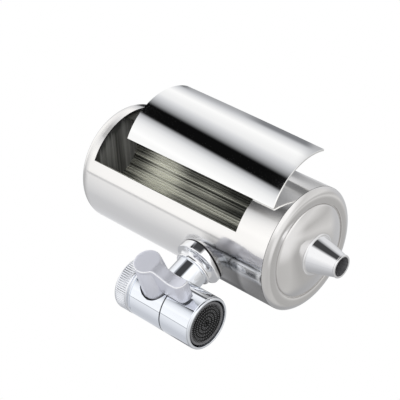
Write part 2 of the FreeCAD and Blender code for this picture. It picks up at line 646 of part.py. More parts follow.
def wedge(label, place, inset):
    """A slice as high as the window, whose far side leans, with an inset on both sides."""
    body = doc.addObject("PartDesign::Body", label)
    sketches = []
    ends = (("low", "window_sweep_low", "-window_bottom"), ("top", "window_sweep_top", "window_top"))
    for name, sweep, lift in ends:
        corners = [("0", "0")]
        for share in ("0", "0.5", "1"):
            angle = "(window_start + %s + (%s - 2 * %s) * %s)" % (inset, sweep, inset, share)
            corners.append(("3 * can_radius * cos(%s)" % angle, "3 * can_radius * sin(%s)" % angle))
        sketches.append(sketch_on(body, label + "_" + name, "XY_Plane", corners, lift=lift))
    doc.recompute()
    loft = body.newObject("PartDesign::AdditiveLoft", label + "_loft")
    loft.Profile = sketches[0]
    loft.Sections = [sketches[1]]
    loft.Ruled = True
    return put(body, place, UPRIGHT)


def shell():
    """Drawn steel can, closed on top, with the window sawn out of its wall."""
    inner = "can_radius - can_wall"
    top = "can_top + can_shoulder"
    under = top + " - can_wall"
    step_out = "can_radius - step_inset"
    step_in = "can_radius - step_inset - step_depth"
    bend = "can_shoulder - can_wall"
    drawn = turned("drawn", [
        (inner, "-can_bottom"), ("can_radius", "-can_bottom"), ("can_radius", "can_top", "can_shoulder", -1),
        ("can_radius - can_shoulder", top), (step_out, top), (step_in, top + " - step_depth"),
        ("0", top + " - step_depth"), ("0", under + " - step_depth"),
        (step_in + " - can_wall / 2", under + " - step_depth"), (step_out + " - can_wall / 2", under),
        ("can_radius - can_shoulder", under, bend, 1), (inner, "can_top")], CAN_PLACE)
    hole = rod("inlet_drill", "shank_radius", "0", CAN_AXIS, PIPE_PLACE, ALONG_X)
    keep("canister_shell", cut("shell_cut", drawn, [wedge("window", CAN_PLACE, "0"), hole]))


def cut_panel():
    """The piece of wall from the window, with its near edge resting on the canister."""
    inset = "(saw_cut / can_radius * 180 / pi)"
    near = "(window_start + %s)" % inset
    inner = "(can_radius - can_wall)"
    rest = "(can_radius + seat_gap)"
    side = "(panel_aside + %s * cos(%s))" % (inner, near)
    forward = "-(sqrt(%s * %s - %s * %s)) - %s * sin(%s)" % (rest, rest, side, side, inner, near)
    place = (CAN_AXIS + " + panel_aside", forward, "-panel_down")
    wall = turned("panel", [
        (inner, "-window_bottom + saw_cut"), ("can_radius", "-window_bottom + saw_cut"),
        ("can_radius", "window_top - saw_cut"), (inner, "window_top - saw_cut")], place)
    keep("cut_panel", shared("panel_cut", wall, wedge("cut_out", place, inset)))


def front_cap():
    """Spun cap with a rounded shoulder, a pressed step and a domed centre."""
    crease = "-(can_bottom + groove_size / 2)"
    skirt = "can_radius - can_wall"
    flat = "-(can_bottom + groove_size / 2 + cap_fall)"
    crown = flat + " - cap_bulge"
    rim = "can_radius - cap_shoulder"
    step = "can_radius - step_inset"
    floor = flat + " + cap_wall + step_depth"
    lip = "-can_bottom + cap_skirt"
    keep("front_cap", turned("cap", [
        (skirt + " - cap_wall", lip), (skirt, lip), (skirt, crease),
        ("can_radius - run_gap", crease, "cap_curve", 1), (rim, flat),
        (step + " + 0.8", flat + " - slip_gap"), (step + " + 0.3", flat + " + step_depth"),
        (step + " - 0.3", flat + " + step_depth"), (step + " - 0.8", flat + " - slip_gap", "cap_dome", 1),
        ("spout_ledge", crown), ("cap_hole", crown), ("cap_hole", crown + " + cap_wall"),
        ("spout_ledge", crown + " + cap_wall", "cap_dome - cap_wall", -1),
        (step + " - 1.5", floor), (rim + " - 0.8", floor),
        (skirt + " - cap_wall", crease + " - cap_wall + 0.4")], CAN_PLACE))


def spout():
    """Mirror-finished outlet cone, seated in the cap."""
    crown = "-(can_bottom + groove_size / 2 + cap_fall + cap_bulge)"
    root = crown + " - ledge_thick"
    tip = root + " - spout_length"
    top = crown + " + cap_wall + 1"
    keep("outlet_spout", turned("spout", [
        ("cap_hole - 1.3", top), ("cap_hole", top), ("cap_hole", crown),
        ("spout_ledge", crown), ("spout_ledge", crown + " - ledge_thick / 2"), ("spout_ledge - 0.6", root),
        ("spout_root", root), ("spout_tip", tip + " + 0.9"), ("spout_tip + 0.25", tip + " + 0.6"),
        ("spout_tip", tip), ("spout_bore", tip), ("spout_bore", root)], CAN_PLACE))


SEAL_LOW = "-can_bottom + cap_skirt"
POTTING_LOW = "-can_bottom + cap_skirt + seal_thick"
BUNDLE_LOW = "-can_bottom + cap_skirt + seal_thick + potting_thick"
BUNDLE_TOP = "can_top - plate_drop"


def inner_parts():
    """Seal ring, resin disc and end plate inside the canister."""
    inner = "can_radius - can_wall - slip_gap"
    hole = inner + " - seal_width"
    keep("cap_seal", turned("seal", [
        (hole, SEAL_LOW), (inner, SEAL_LOW), (inner, POTTING_LOW), (hole, POTTING_LOW)], CAN_PLACE))
    keep("potting_disc", rod("potting", inner, POTTING_LOW, "potting_thick", CAN_PLACE))
    keep("end_plate", rod("plate", inner, BUNDLE_TOP, "plate_thick", CAN_PLACE))


def fibre_bundle():
    """Hollow fibres packed into the canister and cut back to a trough of round strands."""
    outer = size("can_radius - can_wall - seat_gap")
    facing = math.radians(size("cut_facing"))
    deep = VEC(math.cos(facing), math.sin(facing), 0)
    across = VEC(-deep.y, deep.x, 0)
    hollow = size("trough_radius")
    centre = deep * (hollow + size("trough_depth")) + across * size("trough_shift")
    near_angle = math.radians(size("window_start"))
    near_side = VEC(math.cos(near_angle), math.sin(near_angle), 0).dot(across) * outer

    def on_trough(angle):
        """A point of the trough, by its angle from straight down."""
        return centre + (across * math.sin(angle) - deep * math.cos(angle)) * hollow

    start = math.asin((near_side - size("trough_shift")) / hollow)
    offset = centre.Length
    bearing = math.atan2(centre.dot(across), centre.dot(deep))
    spread = math.acos((offset ** 2 + outer ** 2 - hollow ** 2) / (2 * offset * outer))
    far = (deep * math.cos(bearing + spread) + across * math.sin(bearing + spread)) * outer
    leg = (far - centre) * (1 / hollow)
    end = math.atan2(leg.dot(across), -leg.dot(deep))
    near = deep * math.sqrt(outer ** 2 - near_side ** 2) + across * near_side
    count = max(1, round((end - start) * hollow / size("fibre_pitch")))
    step = (end - start) / count
    edges = [Part.LineSegment(near, on_trough(start)).toShape()]
    for index in range(count):
        first = on_trough(start + index * step)
        last = on_trough(start + (index + 1) * step)
        middle = (first + last) / 2
        crown = middle + (centre - middle).normalize() * size("fibre_pitch") * 0.32
        edges.append(Part.Arc(first, crown, last).toShape())
    behind = deep * -outer
    edges.append(Part.Arc(on_trough(end), behind, near).toShape())
    profile = doc.addObject("Part::Feature", "bundle_profile")
    profile.Shape = Part.Face(Part.Wire(edges))
    put(profile, (CAN_AXIS, "0", BUNDLE_LOW), UPRIGHT)
    bundle = doc.addObject("Part::Extrusion", "bundle")
    bundle.Base = profile
    bundle.DirMode = "Custom"
    bundle.Dir = VEC(0, 0, 1)
    bundle.Solid = True
    bind(bundle, LengthFwd="(%s) - (%s)" % (BUNDLE_TOP, BUNDLE_LOW))
    room = rod("inlet_room", "shank_flange + seat_gap", CAN_FACE,
               "shank_depth + seat_gap", PIPE_PLACE, ALONG_X)
    keep("fibre_bundle", cut("bundle_cut", bundle, [room]))


def finish():
    """Checks every object and part, then writes one file for each part."""
    doc.recompute()
    for thing in doc.Objects:
        if {"Invalid", "Error"} & set(thing.State):
            raise RuntimeError("%s failed: %s" % (thing.Name, thing.State))
    os.makedirs("parts", exist_ok=True)
    for node, thing in NODES.items():
        shape = thing.Shape
        if shape.isNull() or not shape.isValid() or not shape.Solids:
            raise RuntimeError("%s has no valid solid" % node)
        shape.exportStep(os.path.join("parts", node + ".step"))
        box = shape.BoundBox
        spans = (box.XMin, box.XMax, box.YMin, box.YMax, box.ZMin, box.ZMax)
        print("%-18s solids %d volume %9.1f" % (node, len(shape.Solids), shape.Volume),
              " x %6.1f %6.1f  y %6.1f %6.1f  z %6.1f %6.1f" % spans)


faucet_nut()
swivel_collar()
valve_body()
port_seats()
gland()
rotor()
lever()
aerator()
side_pipe()
inlet()
shell()
cut_panel()
front_cap()
spout()
inner_parts()
fibre_bundle()
finish()
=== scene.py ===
"""Faucet mount water filter, dressed for its portrait.

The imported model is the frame. Each sub-assembly below builds its visible surfaces from numpy grids,
in metres, where the frame has them, and gives the hidden pieces their finish.
"""
import logging
import math
from collections.abc import Callable, Sequence
from dataclasses import dataclass
from enum import Enum
from functools import cache

import bmesh
import bpy
import numpy as np
from mathutils import Matrix, Vector


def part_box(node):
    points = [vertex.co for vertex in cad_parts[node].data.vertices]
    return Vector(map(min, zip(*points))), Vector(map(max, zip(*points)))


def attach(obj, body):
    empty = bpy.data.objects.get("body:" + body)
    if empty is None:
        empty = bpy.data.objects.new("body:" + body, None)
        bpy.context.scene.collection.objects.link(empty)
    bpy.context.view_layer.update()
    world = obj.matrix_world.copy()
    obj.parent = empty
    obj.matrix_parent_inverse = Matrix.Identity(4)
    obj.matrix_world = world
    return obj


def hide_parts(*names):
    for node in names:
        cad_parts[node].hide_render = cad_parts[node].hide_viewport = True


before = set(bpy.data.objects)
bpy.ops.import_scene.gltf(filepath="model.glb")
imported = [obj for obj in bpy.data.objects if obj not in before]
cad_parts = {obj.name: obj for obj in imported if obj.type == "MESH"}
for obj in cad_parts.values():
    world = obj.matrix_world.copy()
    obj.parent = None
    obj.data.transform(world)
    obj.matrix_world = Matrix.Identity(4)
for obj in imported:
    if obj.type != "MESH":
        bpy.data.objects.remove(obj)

LOG = logging.getLogger("faucet_filter")
MM = 0.001
FULL = 2 * math.pi
PORT_DROP = 21.8
CAN_X = 61.4
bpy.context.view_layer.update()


class Body(Enum):
    """The moving bodies of the model."""

    NUT = "nut"
    VALVE = "valve"
    LEVER = "lever"
    CANISTER = "canister"


# Shader expressions


def maths(operation: str, swapped: bool = False) -> Callable[..., "Signal"]:
    """Makes a method of Signal that adds a Math node.

    Args:
        operation: the node's operation.
        swapped: whether the other operand comes first.

    Returns:
        The method.
    """
    def method(self: "Signal", *others: "Signal | float") -> "Signal":
        """The node's result."""
        operands = (*others, self) if swapped else (self, *others)
        return self.graph.add("ShaderNodeMath", {"operation": operation}, dict(enumerate(operands)))
    return method


class Signal:
    """A shader socket that can be used in arithmetic. y.bearing(x) is the angle of the point (x, y)."""

    def __init__(self, graph: "Graph", socket: bpy.types.NodeSocket) -> None:
        """Keeps the graph and the socket."""
        self.graph = graph
        self.socket = socket

    __add__ = maths("ADD")
    __sub__ = maths("SUBTRACT")
    __rsub__ = maths("SUBTRACT", swapped=True)
    __mul__ = maths("MULTIPLY")
    __pow__ = maths("POWER")
    absolute = maths("ABSOLUTE")
    bearing = maths("ARCTAN2")

    def above(self, level: float, spread: float) -> "Signal":
        """0 below a level and 1 above it, with a smooth step of this spread between."""
        limits = {0: self, 1: level - spread / 2, 2: level + spread / 2, 3: 0.0, 4: 1.0}
        return self.graph.add("ShaderNodeMapRange", {"interpolation_type": "SMOOTHSTEP"}, limits)


class Graph:
    """Builds the node tree of a material or of the world."""

    def __init__(self, tree: bpy.types.NodeTree) -> None:
        """Empties the tree."""
        self.tree = tree
        tree.nodes.clear()

    def node(self, kind: str, settings: dict, inputs: dict) -> bpy.types.Node:
        """Adds any node.

        Args:
            kind: the node's type.
            settings: its properties, and stops for a ramp, set first.
            inputs: socket name or number to value, signal or socket.

        Returns:
            The node.
        """
        made = self.tree.nodes.new(kind)
        for key, value in settings.items():
            if key == "stops":
                self._stops(made.color_ramp, value)
            else:
                setattr(made, key, value)
        for key, value in inputs.items():
            source = value.socket if isinstance(value, Signal) else value
            if isinstance(source, bpy.types.NodeSocket):
                self.tree.links.new(source, made.inputs[key])
            else:
                made.inputs[key].default_value = source
        return made

    def add(self, kind: str, settings: dict, inputs: dict, output: int | str = 0) -> Signal:
        """Adds any node and gives one of its outputs."""
        return Signal(self, self.node(kind, settings, inputs).outputs[output])

    @staticmethod
    def _stops(ramp: bpy.types.ColorRamp, stops: Sequence[tuple[float, Sequence[float]]]) -> None:
        """Sets the (place, colour) stops of a ramp."""
        while len(ramp.elements) > 1:
            ramp.elements.remove(ramp.elements[-1])
        for index, (place, colour) in enumerate(stops):
            stop = ramp.elements[0] if index == 0 else ramp.elements.new(place)
            stop.position = place
            stop.color = (*colour, 1.0)

    def position(self) -> Signal:
        """Object coordinates, in metres in the frame of the model."""
        return self.add("ShaderNodeTexCoord", {}, {}, "Object")

    def parts(self, vector: Signal) -> tuple[Signal, Signal, Signal]:
        """The three numbers of a vector."""
        split = self.node("ShaderNodeSeparateXYZ", {}, {0: vector})
        return tuple(Signal(self, socket) for socket in split.outputs)

    def vector(self, x: Signal | float, y: Signal | float, z: Signal | float) -> Signal:
        """A vector of three numbers."""
        return self.add("ShaderNodeCombineXYZ", {}, {0: x, 1: y, 2: z})

    def noise(self, place: Signal, scale: float, detail: float = 2.0) -> Signal:
        """Soft noise from 0 to 1."""
        return self.add("ShaderNodeTexNoise", {}, {"Vector": place, "Scale": scale, "Detail": detail})

    def streaks(self, places: Sequence[Signal | float], pitch: Sequence[float],
                detail: float = 1.0) -> Signal:
        """Soft noise with a pitch of its own along each of three coordinates."""
        spot = self.vector(*(place * step for place, step in zip(places, pitch)))
        return self.noise(spot, 1.0, detail)

    @staticmethod
    def reach(x: Signal, y: Signal, axis: Sequence[float]) -> Signal:
        """Distance from an upright axis."""
        right, back = x - axis[0], y - axis[1]
        return (right * right + back * back) ** 0.5

    @staticmethod
    def turned(x: Signal, y: Signal, way: float) -> tuple[Signal, Signal]:
        """Level coordinates along a direction and across it."""
        return x * math.cos(way) + y * math.sin(way), y * math.cos(way) - x * math.sin(way)

    def blend(self, share: Signal | float, low: "Signal | tuple", high: "Signal | tuple") -> Signal:
        """Mixes two colours: a share of 0 gives the first and 1 the second."""
        inputs = {0: share, 6: paint(low), 7: paint(high)}
        return self.add("ShaderNodeMix", {"data_type": "RGBA"}, inputs, 2)

    def ramp(self, share: Signal, stops: Sequence[tuple[float, Sequence[float]]]) -> Signal:
        """A colour from a number."""
        return self.add("ShaderNodeValToRGB", {"stops": stops}, {0: share})

    def bump(self, height: Signal, depth: float, strength: float) -> Signal:
        """A normal from a height of 0 to 1, where 1 stands for a depth in metres."""
        return self.add("ShaderNodeBump", {}, {"Strength": strength, "Distance": depth, "Height": height})


def paint(colour: "Signal | Sequence[float]") -> "Signal | tuple":
    """A colour with its alpha, or the signal as it is."""
    return colour if isinstance(colour, Signal) else (*colour, 1.0)


# Finishes


@dataclass(frozen=True)
class Finish:
    """A surface finish: a base colour and how rough it is."""

    name: str
    colour: tuple[float, float, float]
    rough: float = 0.3
    metallic: float = 1.0

    def material(self) -> bpy.types.Material:
        """Makes the material."""
        made = bpy.data.materials.new(self.name)
        made.use_nodes = True
        graph = Graph(made.node_tree)
        looks = {"Base Color": paint(self.colour), "Roughness": self.rough, "Metallic": self.metallic}
        looks.update(self.looks(graph))
        shader = graph.node("ShaderNodeBsdfPrincipled", {}, looks)
        graph.node("ShaderNodeOutputMaterial", {}, {"Surface": shader.outputs[0]})
        made.diffuse_color = (*self.colour, 1.0)
        return made

    def looks(self, graph: Graph) -> dict:
        """What changes over the surface: socket name to signal."""
        return {"Roughness": self.gloss(graph.noise(graph.position(), 300.0), 0.1)}

    def gloss(self, pattern: Signal, change: float) -> Signal:
        """Roughness that a pattern from 0 to 1 varies by this much."""
        return (pattern - 0.5) * change + self.rough

    def shaded(self, share: float) -> tuple[float, ...]:
        """The base colour times a number."""
        return tuple(share * part for part in self.colour)


@dataclass(frozen=True)
class MirrorChrome(Finish):
    """Chrome plate: a mirror with the faint haze of handling."""

    haze: float = 0.05

    def looks(self, graph: Graph) -> dict:
        """Faint clouds in the tone and in the gloss."""
        place = graph.position()
        cloud = graph.noise(place, 90.0, 3.0)
        grain = graph.noise(place, 900.0)
        return {"Base Color": graph.blend(cloud, self.shaded(0.97), self.colour),
                "Roughness": (cloud - 0.4) * self.haze + grain * 0.02 + self.rough}


@dataclass(frozen=True)
class SatinSteel(Finish):
    """Stainless sheet polished along an upright axis, with a patch of painted shade low on one side."""

    axis: tuple[float, float] = (0.0, 0.0)
    relief: float = 0.000003
    painted_shade_share: float = 0.4
    shade_patch_turn: float = math.radians(178)
    shade_patch_half: float = math.radians(32)
    shade_patch_low: float = -0.0495
    shade_patch_high: float = -0.022

    def looks(self, graph: Graph) -> dict:
        """Polishing lines stretched along the axis, soft clouds between them, and the patch of painted
        shade.
        """
        x, y, z = graph.parts(graph.position())
        turn = (y - self.axis[1]).bearing(x - self.axis[0])
        lines = graph.streaks((turn, z, 4.2), (126.0, 840.0, 1.0), 3.0)
        cloud = graph.streaks((turn, z, 0.0), (4.5, 36.0, 1.0), 2.0)
        ragged = graph.streaks((turn, z, 1.7), (7.0, 30.0, 1.0), 2.0) * 0.012
        # Painted shade: the base colour is darkened in a ragged patch low on the side towards the valve.
        apart = ((turn + self.shade_patch_turn).absolute() - math.pi).absolute()
        patch = (1 - (z + ragged).above(self.shade_patch_high, 0.012)) * z.above(self.shade_patch_low, 0.004)
        patch = patch * apart.above(math.pi - self.shade_patch_half, self.shade_patch_half / 2)
        steel = graph.blend(cloud, self.shaded(0.95), self.colour)
        return {"Base Color": graph.blend(patch, steel, self.shaded(self.painted_shade_share)),
                "Roughness": self.gloss(lines, 0.05) + (cloud - 0.5) * 0.03,
                "Normal": graph.bump(lines, self.relief, 0.5)}


@dataclass(frozen=True)
class SprungSheet(Finish):
    """Polished sheet that sprang a little out of true when it was cut: its reflections lean."""

    twist: float = -1.885

    def looks(self, graph: Graph) -> dict:
        """Normals turned about Z by twist radians for each metre of height, and faint haze."""
        place = graph.position()
        normal = graph.add("ShaderNodeNewGeometry", {}, {}, "Normal")
        leaning = graph.add("ShaderNodeVectorRotate", {"rotation_type": "Z_AXIS"},
                            {"Vector": normal, "Angle": graph.parts(place)[2] * self.twist})
        return {"Roughness": self.gloss(graph.noise(place, 60.0), 0.01), "Normal": leaning}


@dataclass(frozen=True)
class SpunSteel(Finish):
    """Sheet spun on a lathe: fine rings round its own axis."""

    axis: tuple[float, float] = (0.0, 0.0)
    rings: float = 1400.0

    def looks(self, graph: Graph) -> dict:
        """Concentric tool marks in the gloss and in the relief."""
        x, y, z = graph.parts(graph.position())
        marks = graph.streaks((graph.reach(x, y, self.axis), z, 0.0), (self.rings, self.rings, 1.0), 3.0)
        cloud = graph.noise(graph.position(), 60.0)
        return {"Base Color": graph.blend(cloud, self.shaded(0.92), self.colour),
                "Roughness": self.gloss(marks, 0.16), "Normal": graph.bump(marks, 0.00001, 0.6)}


@dataclass(frozen=True)
class BrushedPlate(Finish):
    """Round plate brushed one way: long streaks, dark and light, and painted shade towards its rim."""

    axis: tuple[float, float] = (0.0, 0.0)
    way: float = 1.87
    rim: float = 0.0275

    def looks(self, graph: Graph) -> dict:
        """Streaks along one direction of the plate, with broader ones under them."""
        x, y, z = graph.parts(graph.position())
        along, across = graph.turned(x, y, self.way)
        streaks = graph.streaks((across, along, z), (700.0, 14.0, 1.0), 3.0)
        broad = graph.streaks((across, along, 0.0), (160.0, 9.0, 1.0))
        # Painted shade: the tone darkens towards the rim of the plate.
        rim = graph.reach(x, y, self.axis).above(self.rim, 0.007)
        tone = (streaks - 0.5) * 1.6 + (broad - 0.5) * 1.2 + 0.5 - rim * 0.6
        return {"Base Color": graph.blend(tone, self.shaded(0.3), self.shaded(1.9)),
                "Roughness": self.gloss(streaks, 0.2), "Normal": graph.bump(streaks, 0.00002, 0.5)}


@dataclass(frozen=True)
class Moulded(Finish):
    """Moulded plastic or rubber: a fine orange-peel skin."""

    def looks(self, graph: Graph) -> dict:
        """Small changes of tone and gloss, with a light skin texture."""
        place = graph.position()
        skin = graph.noise(place, 700.0, 3.0)
        cloud = graph.noise(place, 80.0)
        return {"Base Color": graph.blend(cloud, self.shaded(0.8), self.shaded(1.15)),
                "Roughness": self.gloss(skin, 0.15), "Normal": graph.bump(skin, 0.00003, 0.5)}


@dataclass(frozen=True)
class FibreSkin(Finish):
    """Hollow fibres: strands that are lighter or darker than their neighbours, under painted sheen and
    painted shade.
    """

    shade: tuple[float, float, float] = (0.035, 0.036, 0.03)
    facing: float = math.radians(242.0)
    sheen: float = 0.036
    front: float = -0.010
    near_side: float = 0.0529
    far_side: float = 0.0665

    def looks(self, graph: Graph) -> dict:
        """Thick and thin strands, painted sheen by the plate, painted highlight on the near side, painted
        shade at front and far side.
        """
        x, y, z = graph.parts(graph.position())
        depth, across = graph.turned(x, y, self.facing)
        strand = graph.streaks((across, depth, z), (520.0, 330.0, 2.5))
        fine = graph.streaks((across, depth, z), (1700.0, 700.0, 1.5))
        patches = graph.streaks((across, 9.0, z), (150.0, 1.0, 10.0))
        # Painted sheen: a bright band across the strands near the plate.
        band = 1 - (z - self.sheen).absolute().above(0.0115, 0.018)
        # Painted highlight on the near side; painted shade at the front end and on the far side.
        near = 1 - across.above(self.near_side, 0.004)
        front = (1 - z.above(self.front, 0.026)) * (1 - near * 0.6)
        far = across.above(self.far_side, 0.006)
        grain = (strand - 0.5) * 1.2 + (fine - 0.5) * 1.1 + (patches - 0.5) * 0.5
        tone = grain + band * 0.5 + near * 0.24 + 0.34 - front * 0.3 - far * 0.7
        return {"Base Color": graph.blend(tone.above(0.5, 1.0), self.shade, self.colour),
                "Roughness": self.gloss(fine, 0.2), "Normal": graph.bump(fine, 0.00003, 0.3)}


CHROME = MirrorChrome("mirror_chrome", (0.90, 0.93, 0.98), 0.03)
NUT_CHROME = MirrorChrome("nut_chrome", (0.92, 0.935, 0.97), 0.09)
FLANGE_CHROME = MirrorChrome("flange_chrome", (0.94, 0.945, 0.96), 0.04)
SPOUT_CHROME = MirrorChrome("spout_chrome", (0.93, 0.93, 0.94), 0.04)
LEVER_CHROME = MirrorChrome("satin_chrome", (0.80, 0.81, 0.885), 0.3, 0.5)
# A lighter copy of the lever's chrome, as a painted highlight on its rounded top edge.
LEVER_EDGE_HIGHLIGHT = MirrorChrome("painted_edge_highlight", (0.97, 0.97, 0.99), 0.3, 0.3)
# Grey steel: the outlet's bore, and painted shade on the lever's underside.
BORE_STEEL_AND_SHADE = Finish("bore_steel_and_painted_shade", (0.35, 0.35, 0.36), 0.5, 0.6)
SHELL_STEEL = SatinSteel("satin_shell", (0.95, 0.935, 0.915), 0.12, axis=(CAN_X * MM, 0.0))
PANEL_STEEL = SprungSheet("polished_panel", (0.93, 0.93, 0.925), 0.03)
CAP_STEEL = SpunSteel("spun_cap", (0.82, 0.808, 0.80), 0.1, axis=(CAN_X * MM, 0.0))
MESH_STEEL = SpunSteel("wire_mesh", (0.5, 0.5, 0.52), 0.4)
PLATE = BrushedPlate("dark_plate", (0.32, 0.32, 0.325), 0.5, 0.35, axis=(CAN_X * MM, 0.0))
FIBRE = FibreSkin("fibre_skin", (0.90, 0.90, 0.785), 0.6, 0.0)
BRASS = MirrorChrome("turned_brass", (0.72, 0.52, 0.26), 0.2)
# Near-black: painted shade in the lever's recess and on the gland ring in it.
RECESS_SHADE = Moulded("painted_recess_shade", (0.025, 0.025, 0.03), 0.5, 0.6)
PLASTIC = Moulded("spray_plastic", (0.2, 0.2, 0.205), 0.42, 0.0)
RUBBER = Moulded("black_rubber", (0.012, 0.012, 0.014), 0.5, 0.0)
RESIN = Moulded("cast_resin", (0.42, 0.39, 0.28), 0.35, 0.0)
PALE_FLOOR = Moulded("pale_floor", (0.85, 0.85, 0.85), 0.8, 0.0)
# Black for the seam ring and the insert's plain rings, and as painted shade in the insert's holes.
BLACK_AND_SHADE = Finish("black_and_painted_shade", (0.003, 0.003, 0.003), 0.8, 0.0)
# Near-black cut faces of the wall: painted shade along the window's edges.
CUT_EDGE_SHADE = Finish("cut_edge_painted_shade", (0.02, 0.02, 0.022), 0.6, 0.0)


# Surfaces


@dataclass(frozen=True)
class Axis:
    """A working axis: points are given by radius, angle and height along it."""

    origin: tuple[float, float, float]
    along: tuple[float, float, float]
    across: tuple[float, float, float]

    def place(self, radius: np.ndarray, angle: np.ndarray, height: np.ndarray) -> np.ndarray:
        """Origin + height along the axis + radius in the direction of the angle.

        Args:
            radius: distances from the axis, in millimetres.
            angle: angles from the across direction, in radians.
            height: distances along the axis, in millimetres.

        Returns:
            Points in metres, with one more dimension.
        """
        along, across = np.array(self.along), np.array(self.across)
        third = np.cross(along, across)
        radius, angle, height = np.broadcast_arrays(radius, angle, height)
        spot = np.array(self.origin) + height[..., None] * along
        spot = spot + (radius * np.cos(angle))[..., None] * across
        spot = spot + (radius * np.sin(angle))[..., None] * third
        return spot * MM


UPRIGHT = Axis((0.0, 0.0, 0.0), (0.0, 0.0, 1.0), (1.0, 0.0, 0.0))
CAN_AXIS = Axis((CAN_X, 0.0, 0.0), (0.0, 0.0, 1.0), (1.0, 0.0, 0.0))
PIPE_AXIS = Axis((0.0, 0.0, -PORT_DROP), (1.0, 0.0, 0.0), (0.0, 1.0, 0.0))
LEVER_AXIS = Axis((0.0, 0.0, -PORT_DROP), (0.0, -1.0, 0.0), (0.0, 0.0, -1.0))


def rounded(corners: Sequence[tuple[float, ...]], closed: bool = True, steps: int = 5) -> np.ndarray:
    """A polyline with each corner replaced by an arc tangent to both of its legs.

    Args:
        corners: (x, y) or (x, y, radius) each.
        closed: whether the last corner leads back to the first.
        steps: points to an arc.

    Returns:
        Points as rows of x and y.
    """
    spots = np.array([corner[:2] for corner in corners], float)
    radii = [corner[2] if len(corner) > 2 else 0.0 for corner in corners]
    made = []
    for index, spot in enumerate(spots):
        if radii[index] == 0.0 or (not closed and index in (0, len(spots) - 1)):
            made.append(spot[None])
            continue
        back = spots[index - 1] - spot
        ahead = spots[(index + 1) % len(spots)] - spot
        back, ahead = back / np.linalg.norm(back), ahead / np.linalg.norm(ahead)
        half = math.acos(float(np.clip(back @ ahead, -1, 1))) / 2
        centre = spot + (back + ahead) / np.linalg.norm(back + ahead) * radii[index] / math.sin(half)
        reach = radii[index] / math.tan(half)
        first, last = spot + back * reach - centre, spot + ahead * reach - centre
        sweep = math.pi - 2 * half
        share = np.linspace(0, 1, steps + 1)[:, None]
        arc = (np.sin((1 - share) * sweep) * first + np.sin(share * sweep) * last) / math.sin(sweep)
        made.append(centre + arc)
    return np.concatenate(made)


def arc_between(start: tuple[float, float], end: tuple[float, float], radius: float, side: float,
                steps: int = 12) -> np.ndarray:
    """Points on a circle's arc from one point to another: centre + radius times turned start.

    Args:
        start: first point.
        end: last point.
        radius: the circle's radius.
        side: 1 where the arc bulges to the left of the way from start to end, or -1.
        steps: spans of the arc.

    Returns:
        Points as rows of x and y, both ends included.
    """
    first, last = np.array(start, float), np.array(end, float)
    chord = last - first
    length = float(np.linalg.norm(chord))
    left = np.array([-chord[1], chord[0]]) / length * side
    centre = (first + last) / 2 - left * math.sqrt(radius ** 2 - length ** 2 / 4)
    half = math.asin(length / 2 / radius)
    swing = np.linspace(-half, half, steps + 1)[:, None]
    return centre + left * radius * np.cos(swing) + chord / length * radius * np.sin(swing)


def eased(value: np.ndarray, start: float, end: float) -> np.ndarray:
    """0 before start and 1 after end, with a smooth step s * s * (3 - 2 * s) between."""
    share = np.clip((value - start) / (end - start), 0, 1)
    return share * share * (3 - 2 * share)


Grid = tuple[np.ndarray, np.ndarray]


def grid(points: np.ndarray, wrap_rows: bool = False, wrap_columns: bool = True) -> Grid:
    """Quads between rows and columns of points.

    Args:
        points: the points, rows by columns by 3.
        wrap_rows: whether the last row leads on to the first.
        wrap_columns: whether the last column leads on to the first.

    Returns:
        The points and the quads.
    """
    rows, columns = points.shape[:2]
    down = np.arange(rows if wrap_rows else rows - 1)[:, None]
    right = np.arange(columns if wrap_columns else columns - 1)[None]
    below, beside = (down + 1) % rows * columns, (right + 1) % columns
    down = down * columns
    quads = [down + right, down + beside, below + beside, below + right]
    return points, np.stack(np.broadcast_arrays(*quads), -1).reshape(-1, 4)


def rectangle(across: np.ndarray, up: np.ndarray) -> np.ndarray:
    """Points round a rectangle with these grid lines: from its lower left corner to the right and on."""
    low, high = np.full_like(across, up[0]), np.full_like(across, up[-1])
    left, right = np.full_like(up, across[0]), np.full_like(up, across[-1])
    sides = [(across, low), (right, up), (across[::-1], high), (left, up[::-1])]
    return np.concatenate([np.stack(side, -1)[:-1] for side in sides])


def build(name: str, grids: Sequence[Grid], sharp: float = 32.0, fill: bool = False) -> bpy.types.Object:
    """Joins grids of points into one welded mesh with outward faces.

    Args:
        name: the piece's name.
        grids: (points, quads) pairs.
        sharp: edges that turn by more than this many degrees stay crisp.
        fill: whether open ends are closed with flat faces.

    Returns:
        The piece.
    """
    points, faces, count = [], [], 0
    for spots, quads in grids:
        flat = spots.reshape(-1, 3)
        points.append(flat)
        faces.append(quads + count)
        count += len(flat)
    mesh = bpy.data.meshes.new(name)
    mesh.from_pydata(np.concatenate(points).tolist(), [], np.concatenate(faces).tolist())
    work = bmesh.new()
    work.from_mesh(mesh)
    bmesh.ops.remove_doubles(work, verts=work.verts, dist=2e-6)
    bmesh.ops.dissolve_degenerate(work, edges=work.edges, dist=1e-7)
    if fill:
        ends = bmesh.ops.holes_fill(work, edges=[edge for edge in work.edges if edge.is_boundary], sides=0)
        bmesh.ops.triangulate(work, faces=ends["faces"], ngon_method="EAR_CLIP")
    bmesh.ops.recalc_face_normals(work, faces=work.faces)
    work.to_mesh(mesh)
    work.free()
    mesh.polygons.foreach_set("use_smooth", np.ones(len(mesh.polygons), bool))
    mesh.set_sharp_from_angle(angle=math.radians(sharp))
    made = bpy.data.objects.new(name, mesh)
    bpy.context.scene.collection.objects.link(made)
    return made


